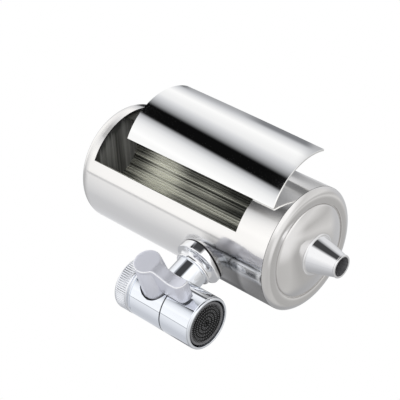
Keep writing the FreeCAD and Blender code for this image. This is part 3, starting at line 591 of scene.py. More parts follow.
def lathe(axis: Axis, profile: np.ndarray, steps: int = 160, closed: bool = True,
          swell: Callable[[np.ndarray, np.ndarray, np.ndarray], np.ndarray] | None = None) -> Grid:
    """A profile carried round an axis: P(i, t) = radius_i in the direction t at height_i.

    Args:
        axis: the axis.
        profile: rows of radius and height.
        steps: points round the axis.
        closed: whether the profile is a closed loop.
        swell: changes the radius, from radius, angle and height.

    Returns:
        The grid and its quads.
    """
    angle = np.linspace(0, FULL, steps, endpoint=False)[None]
    radius, height = profile[:, :1], profile[:, 1:]
    if swell:
        radius = swell(radius, angle, height)
    return grid(axis.place(radius, angle, height), wrap_rows=closed)


def hole_patch(border: np.ndarray, ring: Callable[[np.ndarray], np.ndarray], centre: np.ndarray,
               rows: int) -> np.ndarray:
    """Fills the space between a border and a hole: (1 - t) border + t ring, at the same bearing.

    Args:
        border: points of the border, in flat coordinates.
        ring: gives the hole's edge from bearings.
        centre: middle of the hole.
        rows: rows from the border to the hole.

    Returns:
        A grid of flat points, rows by border points.
    """
    arm = border - centre
    edge = ring(np.arctan2(arm[:, 1], arm[:, 0]))
    share = np.linspace(0, 1, rows)[:, None, None] ** 0.8
    return border * (1 - share) + edge * share


class SubAssembly:
    """Pieces that ride on one body."""

    body = Body.VALVE

    def dress(self, piece: bpy.types.Object, finish: Finish, slot: str, nodes: Sequence[str] = ()) -> None:
        """Gives a piece its finish and its body, and hides the nodes that it stands for.

        Args:
            piece: the piece.
            finish: its finish.
            slot: not used.
            nodes: the nodes that it replaces.
        """
        if not piece.data.materials:
            piece.data.materials.append(finish_of(finish))
        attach(piece, self.body.value)
        if nodes:
            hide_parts(*nodes)
        LOG.info("%s: %d faces", piece.name, len(piece.data.polygons))

    @staticmethod
    def toned(piece: bpy.types.Object, finishes: Sequence[Finish], chosen: Callable[[Vector], int]) -> None:
        """Gives a piece several finishes: the middle of a face says which of them it takes."""
        for finish in finishes:
            piece.data.materials.append(finish_of(finish))
        marks = np.array([int(chosen(face.center)) for face in piece.data.polygons], np.int32)
        piece.data.polygons.foreach_set("material_index", marks)

    @staticmethod
    def repaint(finish: Finish, *nodes: str) -> None:
        """Gives frame nodes a finish, on the slots that they have."""
        for node in nodes:
            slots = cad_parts[node].data.materials
            for index in range(len(slots)):
                slots[index] = finish_of(finish)
            if len(slots) == 0:
                slots.append(finish_of(finish))


@cache
def finish_of(finish: Finish) -> bpy.types.Material:
    """The material of a finish, made once."""
    return finish.material()


@dataclass
class FaucetNut(SubAssembly):
    """Ribbed ring nut with its washer and screen. Sizes in millimetres."""

    radius: float = 14.15
    height: float = 8.6
    bore: float = 10.5
    collar: float = 8.35
    ribs: int = 72
    rib_depth: float = 0.42
    plain: float = 1.3
    thread_end: float = 4.2
    shelf: float = 7.2
    body = Body.NUT

    def ribbed(self, radius: np.ndarray, angle: np.ndarray, height: np.ndarray) -> np.ndarray:
        """Radius less the rib depth times a rounded wave, between the plain bands."""
        wave = 0.5 - 0.5 * np.cos(angle * self.ribs)
        band = (height < -self.plain) & (height > self.plain - self.height) & (radius > self.radius - 0.3)
        return radius - self.rib_depth * wave ** 2 * band

    def build(self) -> None:
        """Makes the nut."""
        low, undercut = -self.height, self.bore + 0.7
        before, after = self.plain - 0.1, self.plain + 0.05
        profile = rounded([
            (self.collar, low), (self.radius, low, 0.7), (self.radius, low + before),
            (self.radius, low + after), (self.radius, -after), (self.radius, -before),
            (self.radius, 0.0, 0.8), (self.bore, 0.0, 0.5), (self.bore, -self.thread_end),
            (undercut, -self.thread_end), (undercut, -self.shelf), (self.collar, -self.shelf)])
        nut = build("ribbed_nut", [lathe(UPRIGHT, profile, self.ribs * 8, swell=self.ribbed)], 40.0)
        self.dress(nut, NUT_CHROME, "chrome_nut", ["faucet_nut"])
        self.repaint(RUBBER, "faucet_washer")
        self.repaint(MESH_STEEL, "inlet_screen")


@dataclass
class DiverterValve(SubAssembly):
    """Valve body, aerator and side pipe. Sizes in millimetres."""

    radius: float = 14.0
    top: float = -8.8
    seam: float = -31.8
    mouth: float = -51.6
    recess: float = 8.95
    recess_floor: float = 10.4
    window: float = 12.4
    rise: float = 9.75
    spigot: float = 12.9
    groove: float = -11.0
    housing_bore: float = 12.5
    insert_radius: float = 11.6
    spray_radius: float = 10.45
    insert_bore: float = 10.3
    insert_flange: tuple[float, float] = (-42.0, -39.6)
    body = Body.VALVE

    def skin(self, flat: np.ndarray) -> np.ndarray:
        """Wraps flat points (arc length from -Y, height) onto the body's cylinder."""
        angle = flat[..., 0] / self.radius - math.pi / 2
        return UPRIGHT.place(np.full_like(angle, self.radius), angle, flat[..., 1])

    def hole_edge(self, reach: float) -> Callable[[np.ndarray], np.ndarray]:
        """The edge of the recess on the unrolled cylinder: x = R sin(s / R) lies on a circle."""
        def ring(bearing: np.ndarray) -> np.ndarray:
            """Edge points at these bearings."""
            arc = self.radius * np.arcsin(reach * np.cos(bearing) / self.radius)
            return np.stack([arc, -PORT_DROP + reach * np.sin(bearing)], -1)
        return ring

    def casting(self) -> None:
        """Body with the round recess for the lever: a patch round it, its well, and the rest."""
        across = np.linspace(-self.window, self.window, 37)
        up = np.linspace(-PORT_DROP - self.rise, -PORT_DROP + self.rise, 25)
        border = rectangle(across, up)
        centre = np.array([0.0, -PORT_DROP])
        patch = self.skin(hole_patch(border, self.hole_edge(self.recess + 0.25), centre, 14))
        arm = border - centre
        bearing = np.arctan2(arm[:, 1], arm[:, 0])[None]
        depth = np.array([[0.12], [0.25], [2.0], [4.0]])
        reach = self.recess + np.array([[0.08], [0.0], [0.0], [0.0]])
        brim = np.sqrt(self.radius ** 2 - (reach * np.cos(bearing)) ** 2) - depth
        brim = np.maximum(brim, self.recess_floor)
        brim[-1] = self.recess_floor
        wall = np.stack([reach * np.cos(bearing), -brim, -PORT_DROP + reach * np.sin(bearing)], -1) * MM
        pole = np.broadcast_to(np.array([0.0, -self.recess_floor, -PORT_DROP]) * MM, patch[-1:].shape)
        well = np.concatenate([patch[-1:], wall, pole])
        span = self.window / self.radius
        rest = np.linspace(span, FULL - span, 130) - math.pi / 2
        around = np.concatenate([across / self.radius - math.pi / 2, rest[1:-1]])[None]
        side = UPRIGHT.place(self.radius, rest[None], up[:, None])
        sill, rim, hollow = self.seam + 0.35, self.radius - 0.3, self.top - 4
        below = np.array([(self.radius, sill), (self.radius, up[0])])
        neck = np.array([
            (self.radius, up[-1]), (self.radius, self.groove - 0.1), (rim, self.groove),
            (rim, self.groove + 0.3), (self.radius, self.groove + 0.4), (self.radius, self.top - 0.35),
            (self.radius - 0.12, self.top - 0.1), (self.radius - 0.35, self.top), (8.3, self.top),
            (8.3, hollow), (0.0, hollow)])
        foot = np.array([
            (self.radius, sill), (self.radius - 0.2, sill - 0.07), (self.radius - 0.4, self.seam),
            (self.spigot, self.seam), (self.spigot, self.seam - 6.2), (0.0, self.seam - 6.2)])
        grids = [grid(patch), grid(well), grid(side, wrap_columns=False)]
        for part in (below, neck, foot):
            grids.append(grid(UPRIGHT.place(part[:, :1], around, part[:, 1:])))
        body = build("diverter_body", grids, 35.0)
        # Faces in the lever's recess take near-black as painted shade.
        self.toned(body, (CHROME, RECESS_SHADE), self.in_recess)
        self.dress(body, CHROME, "chrome", ["valve_body"])

    def in_recess(self, spot: Vector) -> bool:
        """Whether a face lies inside the lever's recess."""
        level = math.hypot(spot.x, spot.z + PORT_DROP * MM) < (self.recess + 0.05) * MM
        return level and -spot.y > 9.5 * MM and math.hypot(spot.x, spot.y) < (self.radius - 0.15) * MM

    def aerator(self) -> None:
        """Housing with a rolled rim, and a perforated spray insert."""
        lip, socket = self.mouth + 1.3, self.spigot + 0.1
        top, ledge = self.seam - 0.02, self.seam - 10.2
        profile = rounded([
            (socket, top), (self.radius - 0.4, top), (self.radius, self.seam - 0.4, 0.15),
            (self.radius, lip + 0.2), (self.radius - 0.22, lip), (self.radius - 0.12, lip - 0.15),
            (self.radius - 0.1, self.mouth, 0.9), (self.housing_bore, self.mouth, 0.35),
            (self.housing_bore, ledge), (socket, ledge)])
        housing = build("aerator_shell", [lathe(UPRIGHT, profile, 200)])
        self.dress(housing, CHROME, "chrome", ["aerator_housing"])
        inner, outer = self.spigot + 0.05, self.radius - 0.08
        low, high = self.seam - 0.36, self.seam + 0.3
        band = rounded([(inner, low), (outer, low, 0.1), (outer, high, 0.1), (inner, high)])
        self.dress(build("seam_ring", [lathe(UPRIGHT, band, 120)]), BLACK_AND_SHADE, "rubber")
        self.repaint(RUBBER, "aerator_gasket")
        self.repaint(PLASTIC, "flow_straightener")
        self.spray_insert()

    def spray_insert(self) -> None:
        """Dark insert: rings of square cells, each with a round hole, between raised rings."""
        face = self.mouth + 0.8
        low, high = self.insert_flange
        skirt = rounded([
            (self.spray_radius, face + 0.15), (self.spray_radius + 0.25, face - 0.15, 0.1),
            (self.insert_radius, face - 0.15, 0.3), (self.insert_radius, low), (self.spigot, low),
            (self.spigot, high), (self.insert_bore, high), (self.insert_bore, face + 2.0),
            (0.0, face + 2.0)], closed=False)
        grids = [lathe(UPRIGHT, skirt, 144, closed=False)]
        rings = [(1.0, 2.2, 0), (2.2, 3.2, 14), (3.2, 4.2, 0), (4.2, 5.2, 24), (5.2, 6.2, 0), (6.2, 7.2, 34),
                 (7.2, 8.0, 0), (8.0, 9.0, 44), (9.0, 9.5, 0), (9.5, self.spray_radius, 52)]
        for inner, edge, holes in rings:
            if holes:
                grids.extend(self.cells(inner, edge, holes, face))
                continue
            crest = (inner + edge) / 2
            ridge = rounded([
                (inner, face + 0.15), (inner + 0.12, face + 0.05), (crest - 0.18, face - 0.3, 0.12),
                (crest + 0.18, face - 0.3, 0.12), (edge - 0.12, face + 0.05), (edge, face + 0.15)],
                closed=False, steps=3)
            grids.append(lathe(UPRIGHT, ridge, 96, closed=False))
        button = np.array([(1.0, face + 0.15), (0.8, face + 0.1), (0.7, face + 0.9), (0.0, face + 0.9)])
        grids.append(lathe(UPRIGHT, button, 48, closed=False))
        insert = build("spray_disc", grids)

        def shaded(spot: Vector) -> bool:
            """Whether a face lies in a hole or on a plain ring."""
            reach = math.hypot(spot.x, spot.y) / MM
            deep = spot.z > (face + 0.3) * MM
            plain = any(inner < reach < edge for inner, edge, holes in rings if not holes)
            return reach < self.spray_radius - 0.25 and (deep or plain)

        # The holes' wells are black as painted shade; the plain rings are black.
        self.toned(insert, (PLASTIC, BLACK_AND_SHADE), shaded)
        self.dress(insert, PLASTIC, "spray_plastic", ["spray_insert"])

    @staticmethod
    def cells(inner: float, outer: float, holes: int, face: float) -> list[Grid]:
        """A ring of cells with a hole each: flat cell borders blended to circles, then a blind well.

        Args:
            inner: inner radius of the ring.
            outer: outer radius of the ring.
            holes: number of cells.
            face: height of the face.

        Returns:
            The grids.
        """
        middle, half = (inner + outer) / 2, math.pi / holes
        side = np.linspace(-1, 1, 4)
        border = rectangle(side, side)
        flat = border * [half * middle, (outer - inner) / 2]
        size = min(half * middle, (outer - inner) / 2) * 0.86
        bearing = np.arctan2(flat[:, 1], flat[:, 0])
        circle = np.stack([np.cos(bearing), np.sin(bearing)], -1) * size
        rows = np.stack([flat, circle, circle * 0.96, np.zeros_like(flat)])
        height = np.array([0.15, 0.15, 1.1, 1.1])[:, None]
        turn = rows[..., 0] / middle
        every = np.arange(holes)[:, None, None] * 2 * half
        points = UPRIGHT.place(rows[None, ..., 1] + middle, turn[None] + every,
                               np.broadcast_to(face + height, (holes, *turn.shape)))
        return [grid(cell) for cell in points]

    def pipe(self) -> None:
        """Side pipe."""
        tube = rounded([(5.95, 10.5), (8.95, 10.5), (8.95, 24.2), (5.95, 24.2)])
        self.dress(build("branch_pipe", [lathe(PIPE_AXIS, tube, 160)]), CHROME, "chrome", ["side_pipe"])

    def build(self) -> None:
        """Makes the valve's pieces."""
        self.casting()
        self.aerator()
        self.pipe()
        self.repaint(CHROME, "swivel_collar")
        # The gland ring in the recess is near-black as painted shade.
        self.repaint(RECESS_SHADE, "gland_ring")
        self.repaint(RUBBER, "port_seats")


@dataclass
class DiverterLever(SubAssembly):
    """Lever with a round head and a swan-necked arm. Sizes in millimetres."""

    head: float = 7.1
    foot: float = 8.3
    face: float = 31.2
    near_width: float = 2.8
    far_width: float = 3.9
    near_corner: float = 0.8
    far_corner: float = 4.6
    shift: float = 0.55
    blend: float = 3.0
    reach: float = 24.4
    fall: float = 3.6
    neck: tuple[float, float] = (5.5, 16.5)
    under: float = 15.1
    lean: float = 1.4
    bevel: float = 0.6
    tip_rise: float = 0.8
    stem: float = 4.55
    stem_end: float = 26.6
    body = Body.LEVER

    def crest(self, along: np.ndarray) -> np.ndarray:
        """Height of the top face: level, an S-shaped fall through the neck, then a slight rise."""
        rise = np.clip((along - self.neck[1]) / (self.reach - self.neck[1]), 0, 1)
        return self.face - self.fall * eased(along, *self.neck) + self.tip_rise * rise * rise

    def flank(self, width: float, corner: float) -> np.ndarray:
        """One side of the plan, from the back of the head to the tip: arcs and a straight."""
        reach = math.sqrt((self.head + self.blend) ** 2 - (width + self.blend) ** 2)
        meet = math.atan2(width + self.blend, reach)
        disc = np.linspace(math.pi, meet, 44)
        fillet = np.linspace(math.pi + meet, 1.5 * math.pi, 12)[1:]
        corner = min(corner, width + self.shift)
        turn = np.linspace(0.5 * math.pi, 0.0, 13)
        tip = self.reach - corner
        return np.concatenate([
            np.stack([self.head * np.cos(disc), self.head * np.sin(disc)], -1),
            np.stack([reach + self.blend * np.cos(fillet), width + self.blend * (1 + np.sin(fillet))], -1),
            np.stack([np.linspace(reach, tip, 22)[1:-1], np.full(20, width)], -1),
            np.stack([tip + corner * np.cos(turn), width - corner + corner * np.sin(turn)], -1)])

    def outline(self) -> np.ndarray:
        """Plan of head and arm: the canister's side, then the other side back to the head."""
        near = self.flank(self.near_width, self.near_corner)
        far = self.flank(self.far_width, self.far_corner) * [1, -1]
        return np.concatenate([near, far[::-1]])[:-1]

    def part_of_arm(self, spot: Vector) -> int:
        """Where a face of the arm lies: 1 on the rounded edge of its top, 2 on its underside, else 0."""
        depth = float(self.crest(np.array([-spot.z / MM - PORT_DROP]))[0]) + spot.y / MM
        if -spot.y / MM < self.under + 0.05:
            return 2
        return 1 if 0.03 < depth < self.bevel else 0

    def arm(self) -> Grid:
        """Head and arm: rows of points from the middle of the top over the rounded edge to the underside."""
        edge = self.outline()
        along = np.clip(edge[:, 0], 0, self.reach - 4.2)
        spine = np.stack([along, -self.shift * eased(along, 2.0, 10.0)], -1)
        inward = spine - edge
        inward /= np.maximum(np.linalg.norm(inward, axis=1), 1e-9)[:, None]
        rows, levels = [spine], [self.crest(spine[:, 0])]
        inset = edge + inward * self.bevel
        for share in (0.3, 0.6, 0.85):
            rows.append(spine + (inset - spine) * share)
            levels.append(self.crest(rows[-1][:, 0]))
        for turn in np.linspace(0, math.pi / 2, 5):
            rows.append(edge + inward * self.bevel * (1 - math.sin(turn)))
            levels.append(self.crest(rows[-1][:, 0]) - self.bevel * (1 - math.cos(turn)))
        low = np.where(edge[:, 0] > 6.0, self.under, self.face - 4.5)
        end = self.neck[1] + 0.5
        shear = np.clip((edge[:, 0] - end) / (self.reach - end), 0, 1) ** 2 * self.lean
        shear = np.stack([shear, np.zeros(len(edge))], -1)
        top = levels[-1]
        for share in (0.33, 0.66, 0.96):
            rows.append(edge - shear * share)
            levels.append(top + (low - top) * share)
        rows += [edge - shear + inward * 0.3, spine - shear]
        levels += [low, low]
        plan, level = np.stack(rows), np.stack(levels)
        return grid(np.stack([plan[..., 1], -level, -PORT_DROP - plan[..., 0]], -1) * MM)

    def build(self) -> None:
        """Makes the head with its arm, and the hub under it."""
        foot, top = 10.9, self.face - 1.2
        hub = rounded([
            (self.stem, foot), (self.foot, foot, 0.4), (self.head + 0.12, top - 1.2), (self.head - 0.6, top),
            (0.0, top), (0.0, self.stem_end), (self.stem, self.stem_end)])
        arm = build("lever_arm", [self.arm()], 38.0)
        # Painted highlight: the rounded top edge takes a lighter copy of the chrome; painted shade: the
        # underside takes grey steel.
        self.toned(arm, (LEVER_CHROME, LEVER_EDGE_HIGHLIGHT, BORE_STEEL_AND_SHADE), self.part_of_arm)
        self.dress(arm, LEVER_CHROME, "satin_chrome", ["lever"])
        cone = build("lever_hub", [lathe(LEVER_AXIS, hub, 120)])
        self.dress(cone, LEVER_CHROME, "satin_chrome", ["lever"])
        self.repaint(BRASS, "valve_rotor")
        self.repaint(RUBBER, "rotor_seals")


@dataclass
class Canister(SubAssembly):
    """Steel canister with its window, end cap, outlet and inlet. Sizes in millimetres."""

    radius: float = 33.5
    wall: float = 1.0
    bottom: float = -64.6
    straight: float = 61.5
    shoulder: float = 5.0
    window_low: float = -44.7
    window_high: float = 57.2
    window_near: float = 228.3
    sweep_low: float = 77.7
    sweep_high: float = 91.7
    saw_cut: float = 0.25
    panel_right: float = 15.7
    panel_drop: float = 13.6
    rounded_cut: float = 0.14
    spout_bore: float = 5.2
    pipe_hole: float = 7.6
    body = Body.CANISTER

    def shell(self) -> None:
        """Outer skin with the window's cells left out, thickened inwards."""
        near = math.radians(self.window_near)
        top = self.straight + self.shoulder
        curve = np.linspace(0, math.pi / 2, 13)
        shoulder = np.stack([self.radius - self.shoulder + self.shoulder * np.cos(curve),
                             self.straight + self.shoulder * np.sin(curve)], -1)
        end = rounded([(self.radius - self.shoulder - 0.01, top), (25.4, top, 0.5), (24.8, top - 0.8, 0.5),
                       (0.0, top - 0.8)], closed=False)
        straight = np.concatenate([np.linspace(self.bottom, self.window_low, 7),
                                   np.linspace(self.window_low, self.window_high, 35)[1:],
                                   np.linspace(self.window_high, self.straight, 3)[1:-1]])
        wall = np.stack([np.full(len(straight), self.radius), straight], -1)
        profile = np.concatenate([wall, shoulder, end[1:]])
        sweep = self.sweep(profile[:, 1:])
        inside = np.linspace(0, 1, 72, endpoint=False)[None]
        outside = np.linspace(0, 1, 216, endpoint=False)[None]
        angle = np.concatenate([near + sweep * inside, near + sweep + (FULL - sweep) * outside], axis=1)
        points, faces = grid(CAN_AXIS.place(profile[:, :1], angle, profile[:, 1:]))
        row, column = np.divmod(faces[:, 0], angle.shape[1])
        radius, height = profile[row].T
        cut = (column < inside.size) & (radius > self.radius - 0.01)
        cut &= (height > self.window_low - 0.01) & (height < self.window_high - 0.01)
        shell = self.sheet("canister_skin", points, faces[~cut])
        self.dress(shell, SHELL_STEEL, "steel_shell", ["canister_shell"])

    def sweep(self, height: np.ndarray) -> np.ndarray:
        """Angle of the window at a height: it grows evenly from the lower edge to the upper."""
        share = np.clip((height - self.window_low) / (self.window_high - self.window_low), 0, 1)
        return np.radians(self.sweep_low + (self.sweep_high - self.sweep_low) * share)

    def sheet(self, name: str, points: np.ndarray, faces: np.ndarray) -> bpy.types.Object:
        """A one-sided skin with outward faces, thickened inwards by the wall."""
        made = build(name, [(points, faces)], 30.0)
        outward = sum((face.normal.x * (face.center.x - CAN_X * MM) + face.normal.y * face.center.y)
                      for face in made.data.polygons)
        if outward < 0:
            made.data.flip_normals()
        self.crisp_border(made.data)
        solid = made.modifiers.new("wall", "SOLIDIFY")
        solid.thickness = self.wall * MM
        solid.offset = -1.0
        solid.use_even_offset = True
        # The wall's rim faces take near-black as painted shade.
        for finish in (SHELL_STEEL, CUT_EDGE_SHADE):
            made.data.materials.append(finish_of(finish))
        solid.material_offset_rim = 1
        return made

    @staticmethod
    def crisp_border(mesh: bpy.types.Mesh) -> None:
        """Marks the edges with one face as sharp, so that the wall's rim doesn't round their shading."""
        used = np.empty(len(mesh.loops), dtype=np.int32)
        mesh.loops.foreach_get("edge_index", used)
        sharp = np.empty(len(mesh.edges), dtype=bool)
        mesh.edges.foreach_get("use_edge_sharp", sharp)
        sharp |= np.bincount(used, minlength=len(mesh.edges)) == 1
        mesh.edges.foreach_set("use_edge_sharp", sharp)
        mesh.update()

    def panel(self) -> None:
        """The cut-out: an arc of the wall, moved clear of the window."""
        low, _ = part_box("cut_panel")
        middle = (CAN_X + self.panel_right, low.y / MM + self.radius, -self.panel_drop)
        axis = Axis(middle, CAN_AXIS.along, CAN_AXIS.across)
        inner, outer, rim = self.radius - self.wall, self.radius, self.rounded_cut
        bottom, top = self.window_low + self.saw_cut, self.window_high - self.saw_cut
        up = np.linspace(bottom + 1.0, top - 1.0, 12)[:, None]
        section = np.concatenate([
            [(inner, bottom + rim), (inner + rim, bottom), (outer - rim, bottom), (outer, bottom + rim)],
            np.concatenate([np.full_like(up, outer), up], 1),
            [(outer, top - rim), (outer - rim, top), (inner + rim, top), (inner, top - rim)],
            np.concatenate([np.full_like(up, inner), up[::-1]], 1)])
        inset = self.saw_cut / self.radius
        share = np.linspace(0, 1, 97)[None]
        angle = math.radians(self.window_near) + inset + (self.sweep(section[:, 1:]) - 2 * inset) * share
        points = axis.place(section[:, :1], angle, section[:, 1:])
        caps = []
        for ring in (points[:, 0], points[:, -1]):
            caps.append(grid(np.stack([ring, np.broadcast_to(ring.mean(0), ring.shape)])))
        panel = build("cut_out_panel", [grid(points, wrap_rows=True, wrap_columns=False), *caps], 30.0)
        self.dress(panel, PANEL_STEEL, "steel_panel", ["cut_panel"])

    def cap(self) -> None:
        """Spun cap: rounded shoulder, pressed step and domed centre."""
        crease = self.bottom - 0.175
        flat = crease - 2.7
        crown = flat - 4.5
        outer = np.concatenate([
            [(31.3, self.bottom + 6), (32.5, self.bottom + 6), (32.5, crease)],
            arc_between((33.45, crease), (28.6, flat), 5.7, 1),
            [(26.2, flat - 0.1), (25.8, flat + 0.1), (25.65, flat + 0.75), (25.15, flat + 0.8),
             (24.9, flat + 0.2)],
            arc_between((24.6, flat - 0.1), (11.2, crown), 40.0, 1, 18), [(9.0, crown), (9.0, crown + 1.2)],
            arc_between((11.2, crown + 1.2), (23.9, flat + 2.0), 38.8, -1, 18),
            [(27.8, flat + 2.0), (31.3, crease - 0.8)]])
        cap = build("end_cap", [lathe(CAN_AXIS, outer, 240)], 30.0)
        self.dress(cap, CAP_STEEL, "steel_cap", ["front_cap"])

    def spout(self) -> None:
        """Outlet cone with its ledge, beaded tip and bore."""
        crown = self.bottom - 7.375
        root = crown - 0.7
        tip = root - 15.2
        profile = rounded([
            (7.7, crown + 2.2), (9.0, crown + 2.2), (9.0, crown), (11.2, crown, 0.1),
            (11.2, crown - 0.4, 0.2), (10.6, root, 0.2), (9.9, root, 0.2), (6.1, tip + 1.0, 0.25),
            (6.35, tip + 0.6, 0.25), (6.15, tip, 0.3), (self.spout_bore, tip, 0.2), (self.spout_bore, root)])
        cone = build("outlet_cone", [lathe(CAN_AXIS, profile, 160)])
        self.toned(cone, (SPOUT_CHROME, BORE_STEEL_AND_SHADE),
                   lambda spot: math.hypot(spot.x - CAN_X * MM, spot.y) < (self.spout_bore + 0.05) * MM)
        self.dress(cone, SPOUT_CHROME, "spout_chrome", ["outlet_spout"])

    def inlet(self) -> None:
        """Escutcheon with a beaded neck, and the saddle gasket against the canister."""
        skirt = self.radius + 0.6
        profile = np.concatenate([
            [(9.0, 21.6), (10.1, 21.6), (10.3, 21.68), (10.4, 21.9), (10.4, 22.6), (10.3, 22.8)],
            arc_between((9.9, 23.0), (12.6, 25.3), 3.53, 1),
            arc_between((12.65, 25.33), (13.3, 26.1), 0.9, -1, 5),
            [(13.3, 99.0), (7.5, 99.0), (7.5, 24.5), (9.0, 24.5)]])
        angle = np.linspace(0, FULL, 180, endpoint=False)[None]
        radius = profile[:, :1]
        meet = CAN_X - np.sqrt(skirt ** 2 - (radius * np.cos(angle)) ** 2)
        points = PIPE_AXIS.place(radius, angle, np.minimum(profile[:, 1:], meet))
        flange = build("inlet_flange", [grid(points, wrap_rows=True)], 30.0)
        self.dress(flange, FLANGE_CHROME, "chrome_flange", ["escutcheon"])
        radius = np.array([[self.pipe_hole], [13.0], [13.0], [self.pipe_hole]])
        round_can = np.array([[0.05], [0.05], [0.55], [0.55]])
        height = CAN_X - np.sqrt((skirt - round_can) ** 2 - (radius * np.cos(angle)) ** 2)
        gasket = build("saddle_ring", [grid(PIPE_AXIS.place(radius, angle, height), wrap_rows=True)])
        self.dress(gasket, RUBBER, "rubber", ["saddle_gasket"])
        self.repaint(BRASS, "inlet_spigot")
        self.repaint(RUBBER, "spigot_seals", "cap_seal")
        self.repaint(RESIN, "potting_disc")

    def build(self) -> None:
        """Makes the canister's pieces."""
        self.shell()
        self.panel()
        self.cap()
        self.spout()
        self.inlet()


@dataclass
class FibreCore(SubAssembly):
    """Fibre bundle cut back to a trough of strands, and the plate behind it. Sizes in millimetres."""

    facing: float = 242.0
    outer: float = 32.1
    trough: float = 19.5
    floor: float = 0.6
    shift: float = 2.0
    near: float = 228.3
    low: float = -52.1
    high: float = 60.0
    strand: float = 1.45
    strand_points: int = 10
    wander: float = 0.12
    weave_length: float = 112.0
    body = Body.CANISTER

    def section(self) -> tuple[np.ndarray, np.ndarray]:
        """Section of the bundle: trough with round strands, near wall and outer arc.

        Returns:
            Points in (deep, across) and the share of strand relief at each.
        """
        side = self.outer * math.sin(math.radians(self.near - self.facing))
        centre = np.array([self.trough + self.floor, self.shift])
        start = math.asin((side - self.shift) / self.trough)
        offset = float(np.linalg.norm(centre))
        spread = math.acos((offset ** 2 + self.outer ** 2 - self.trough ** 2) / (2 * offset * self.outer))
        far = math.atan2(centre[1], centre[0]) + spread
        leg = np.array([math.cos(far), math.sin(far)]) * self.outer - centre
        end = math.atan2(leg[1], -leg[0])
        count = round((end - start) * self.trough / self.strand)
        swing = np.linspace(start, end, count * self.strand_points + 1)
        phase = (swing - start) / (end - start) * count
        bump = np.sqrt(np.clip(1 - (2 * (phase % 1) - 1) ** 2, 0, 1))
        reach = self.trough - 0.5 * self.strand * bump
        trough = np.stack([centre[0] - reach * np.cos(swing), centre[1] + reach * np.sin(swing)], -1)
        back = np.linspace(far, FULL + math.asin(side / self.outer), 90)[1:]
        arc = np.stack([self.outer * np.cos(back), self.outer * np.sin(back)], -1)
        wall = np.linspace(1, 0, 8)[1:-1, None] * (arc[-1] - trough[0]) + trough[0]
        points = np.concatenate([trough, arc, wall])
        relief = np.concatenate([np.ones(len(trough)), np.zeros(len(arc) + len(wall))])
        return points, relief

    def build(self) -> None:
        """Makes the bundle: the section carried along the axis, with strands that wander a little."""
        points, relief = self.section()
        heights = np.linspace(self.low, self.high, 64)
        random = np.random.default_rng(7)
        strand = np.arange(len(points)) // self.strand_points
        weave = np.zeros((len(heights), len(points)))
        for count in (1.3, 2.1, 3.4):
            phases = random.uniform(0, FULL, 40)
            turn = heights[:, None] / self.weave_length * FULL * count
            weave += np.sin(turn + phases[strand % len(phases)]) / count
        facing = math.radians(self.facing)
        deep = points[:, 0] + weave * self.wander * relief
        across = points[:, 1]
        x = CAN_X + deep * math.cos(facing) - across * math.sin(facing)
        y = deep * math.sin(facing) + across * math.cos(facing)
        z = np.broadcast_to(heights[:, None], x.shape)
        bundle = build("fibre_strands", [grid(np.stack([x, y, z], -1) * MM)], 60.0, fill=True)
        self.dress(bundle, FIBRE, "fibre", ["fibre_bundle"])
        self.repaint(PLATE, "end_plate")


@dataclass(frozen=True)
class Ring:
    """A band of soft tones all round the room, from a height upwards.

    The tones are (bearing in degrees, brightness) pairs. White stays white and greys take the tint.
    """

    start: float
    soft: float
    tint: tuple[float, float, float]
    tones: Sequence[tuple[float, float]]

    def over(self, light: Signal | tuple, turn: Signal, z: Signal) -> Signal:
        """Lays the band over the light of the room.

        Args:
            light: what is there.
            turn: bearing as a share of a full turn.
            z: height of the direction, -1 to 1.

        Returns:
            The colour.
        """
        stops = []
        for bearing, tone in self.tones:
            share = min(1.0, max(0.0, (1.0 - tone) * 3))
            colour = tuple(tone * (1 + (part - 1) * share) for part in self.tint)
            stops.append((bearing / 360 + 0.5, colour))
        return z.graph.blend(z.above(self.start, self.soft), light, z.graph.ramp(turn, stops))


@dataclass(frozen=True)
class Cards:
    """Grey cards in the room, each between two bearings and two heights.

    A place is (first, last, softness) in degrees, and (low, softness, high, softness) in heights.
    """

    share: float
    tone: tuple[float, float, float]
    places: Sequence[tuple[Sequence[float], Sequence[float]]]

    @staticmethod
    def mask(bearings: Sequence[float], heights: Sequence[float], turn: Signal, z: Signal) -> Signal:
        """1 on a card and 0 elsewhere, with soft ends."""
        first, last, soft = (part / 360 for part in bearings)
        low, low_soft, high, high_soft = heights
        across = turn.above(first + 0.5, soft) * (1 - turn.above(last + 0.5, soft))
        return across * z.above(low, low_soft) * (1 - z.above(high, high_soft))

    def over(self, light: Signal | tuple, turn: Signal, z: Signal) -> Signal:
        """Lays the cards over the light of the room."""
        masks = [self.mask(*place, turn, z) for place in self.places]
        return z.graph.blend(sum(masks[1:], masks[0]) * self.share, light, self.tone)


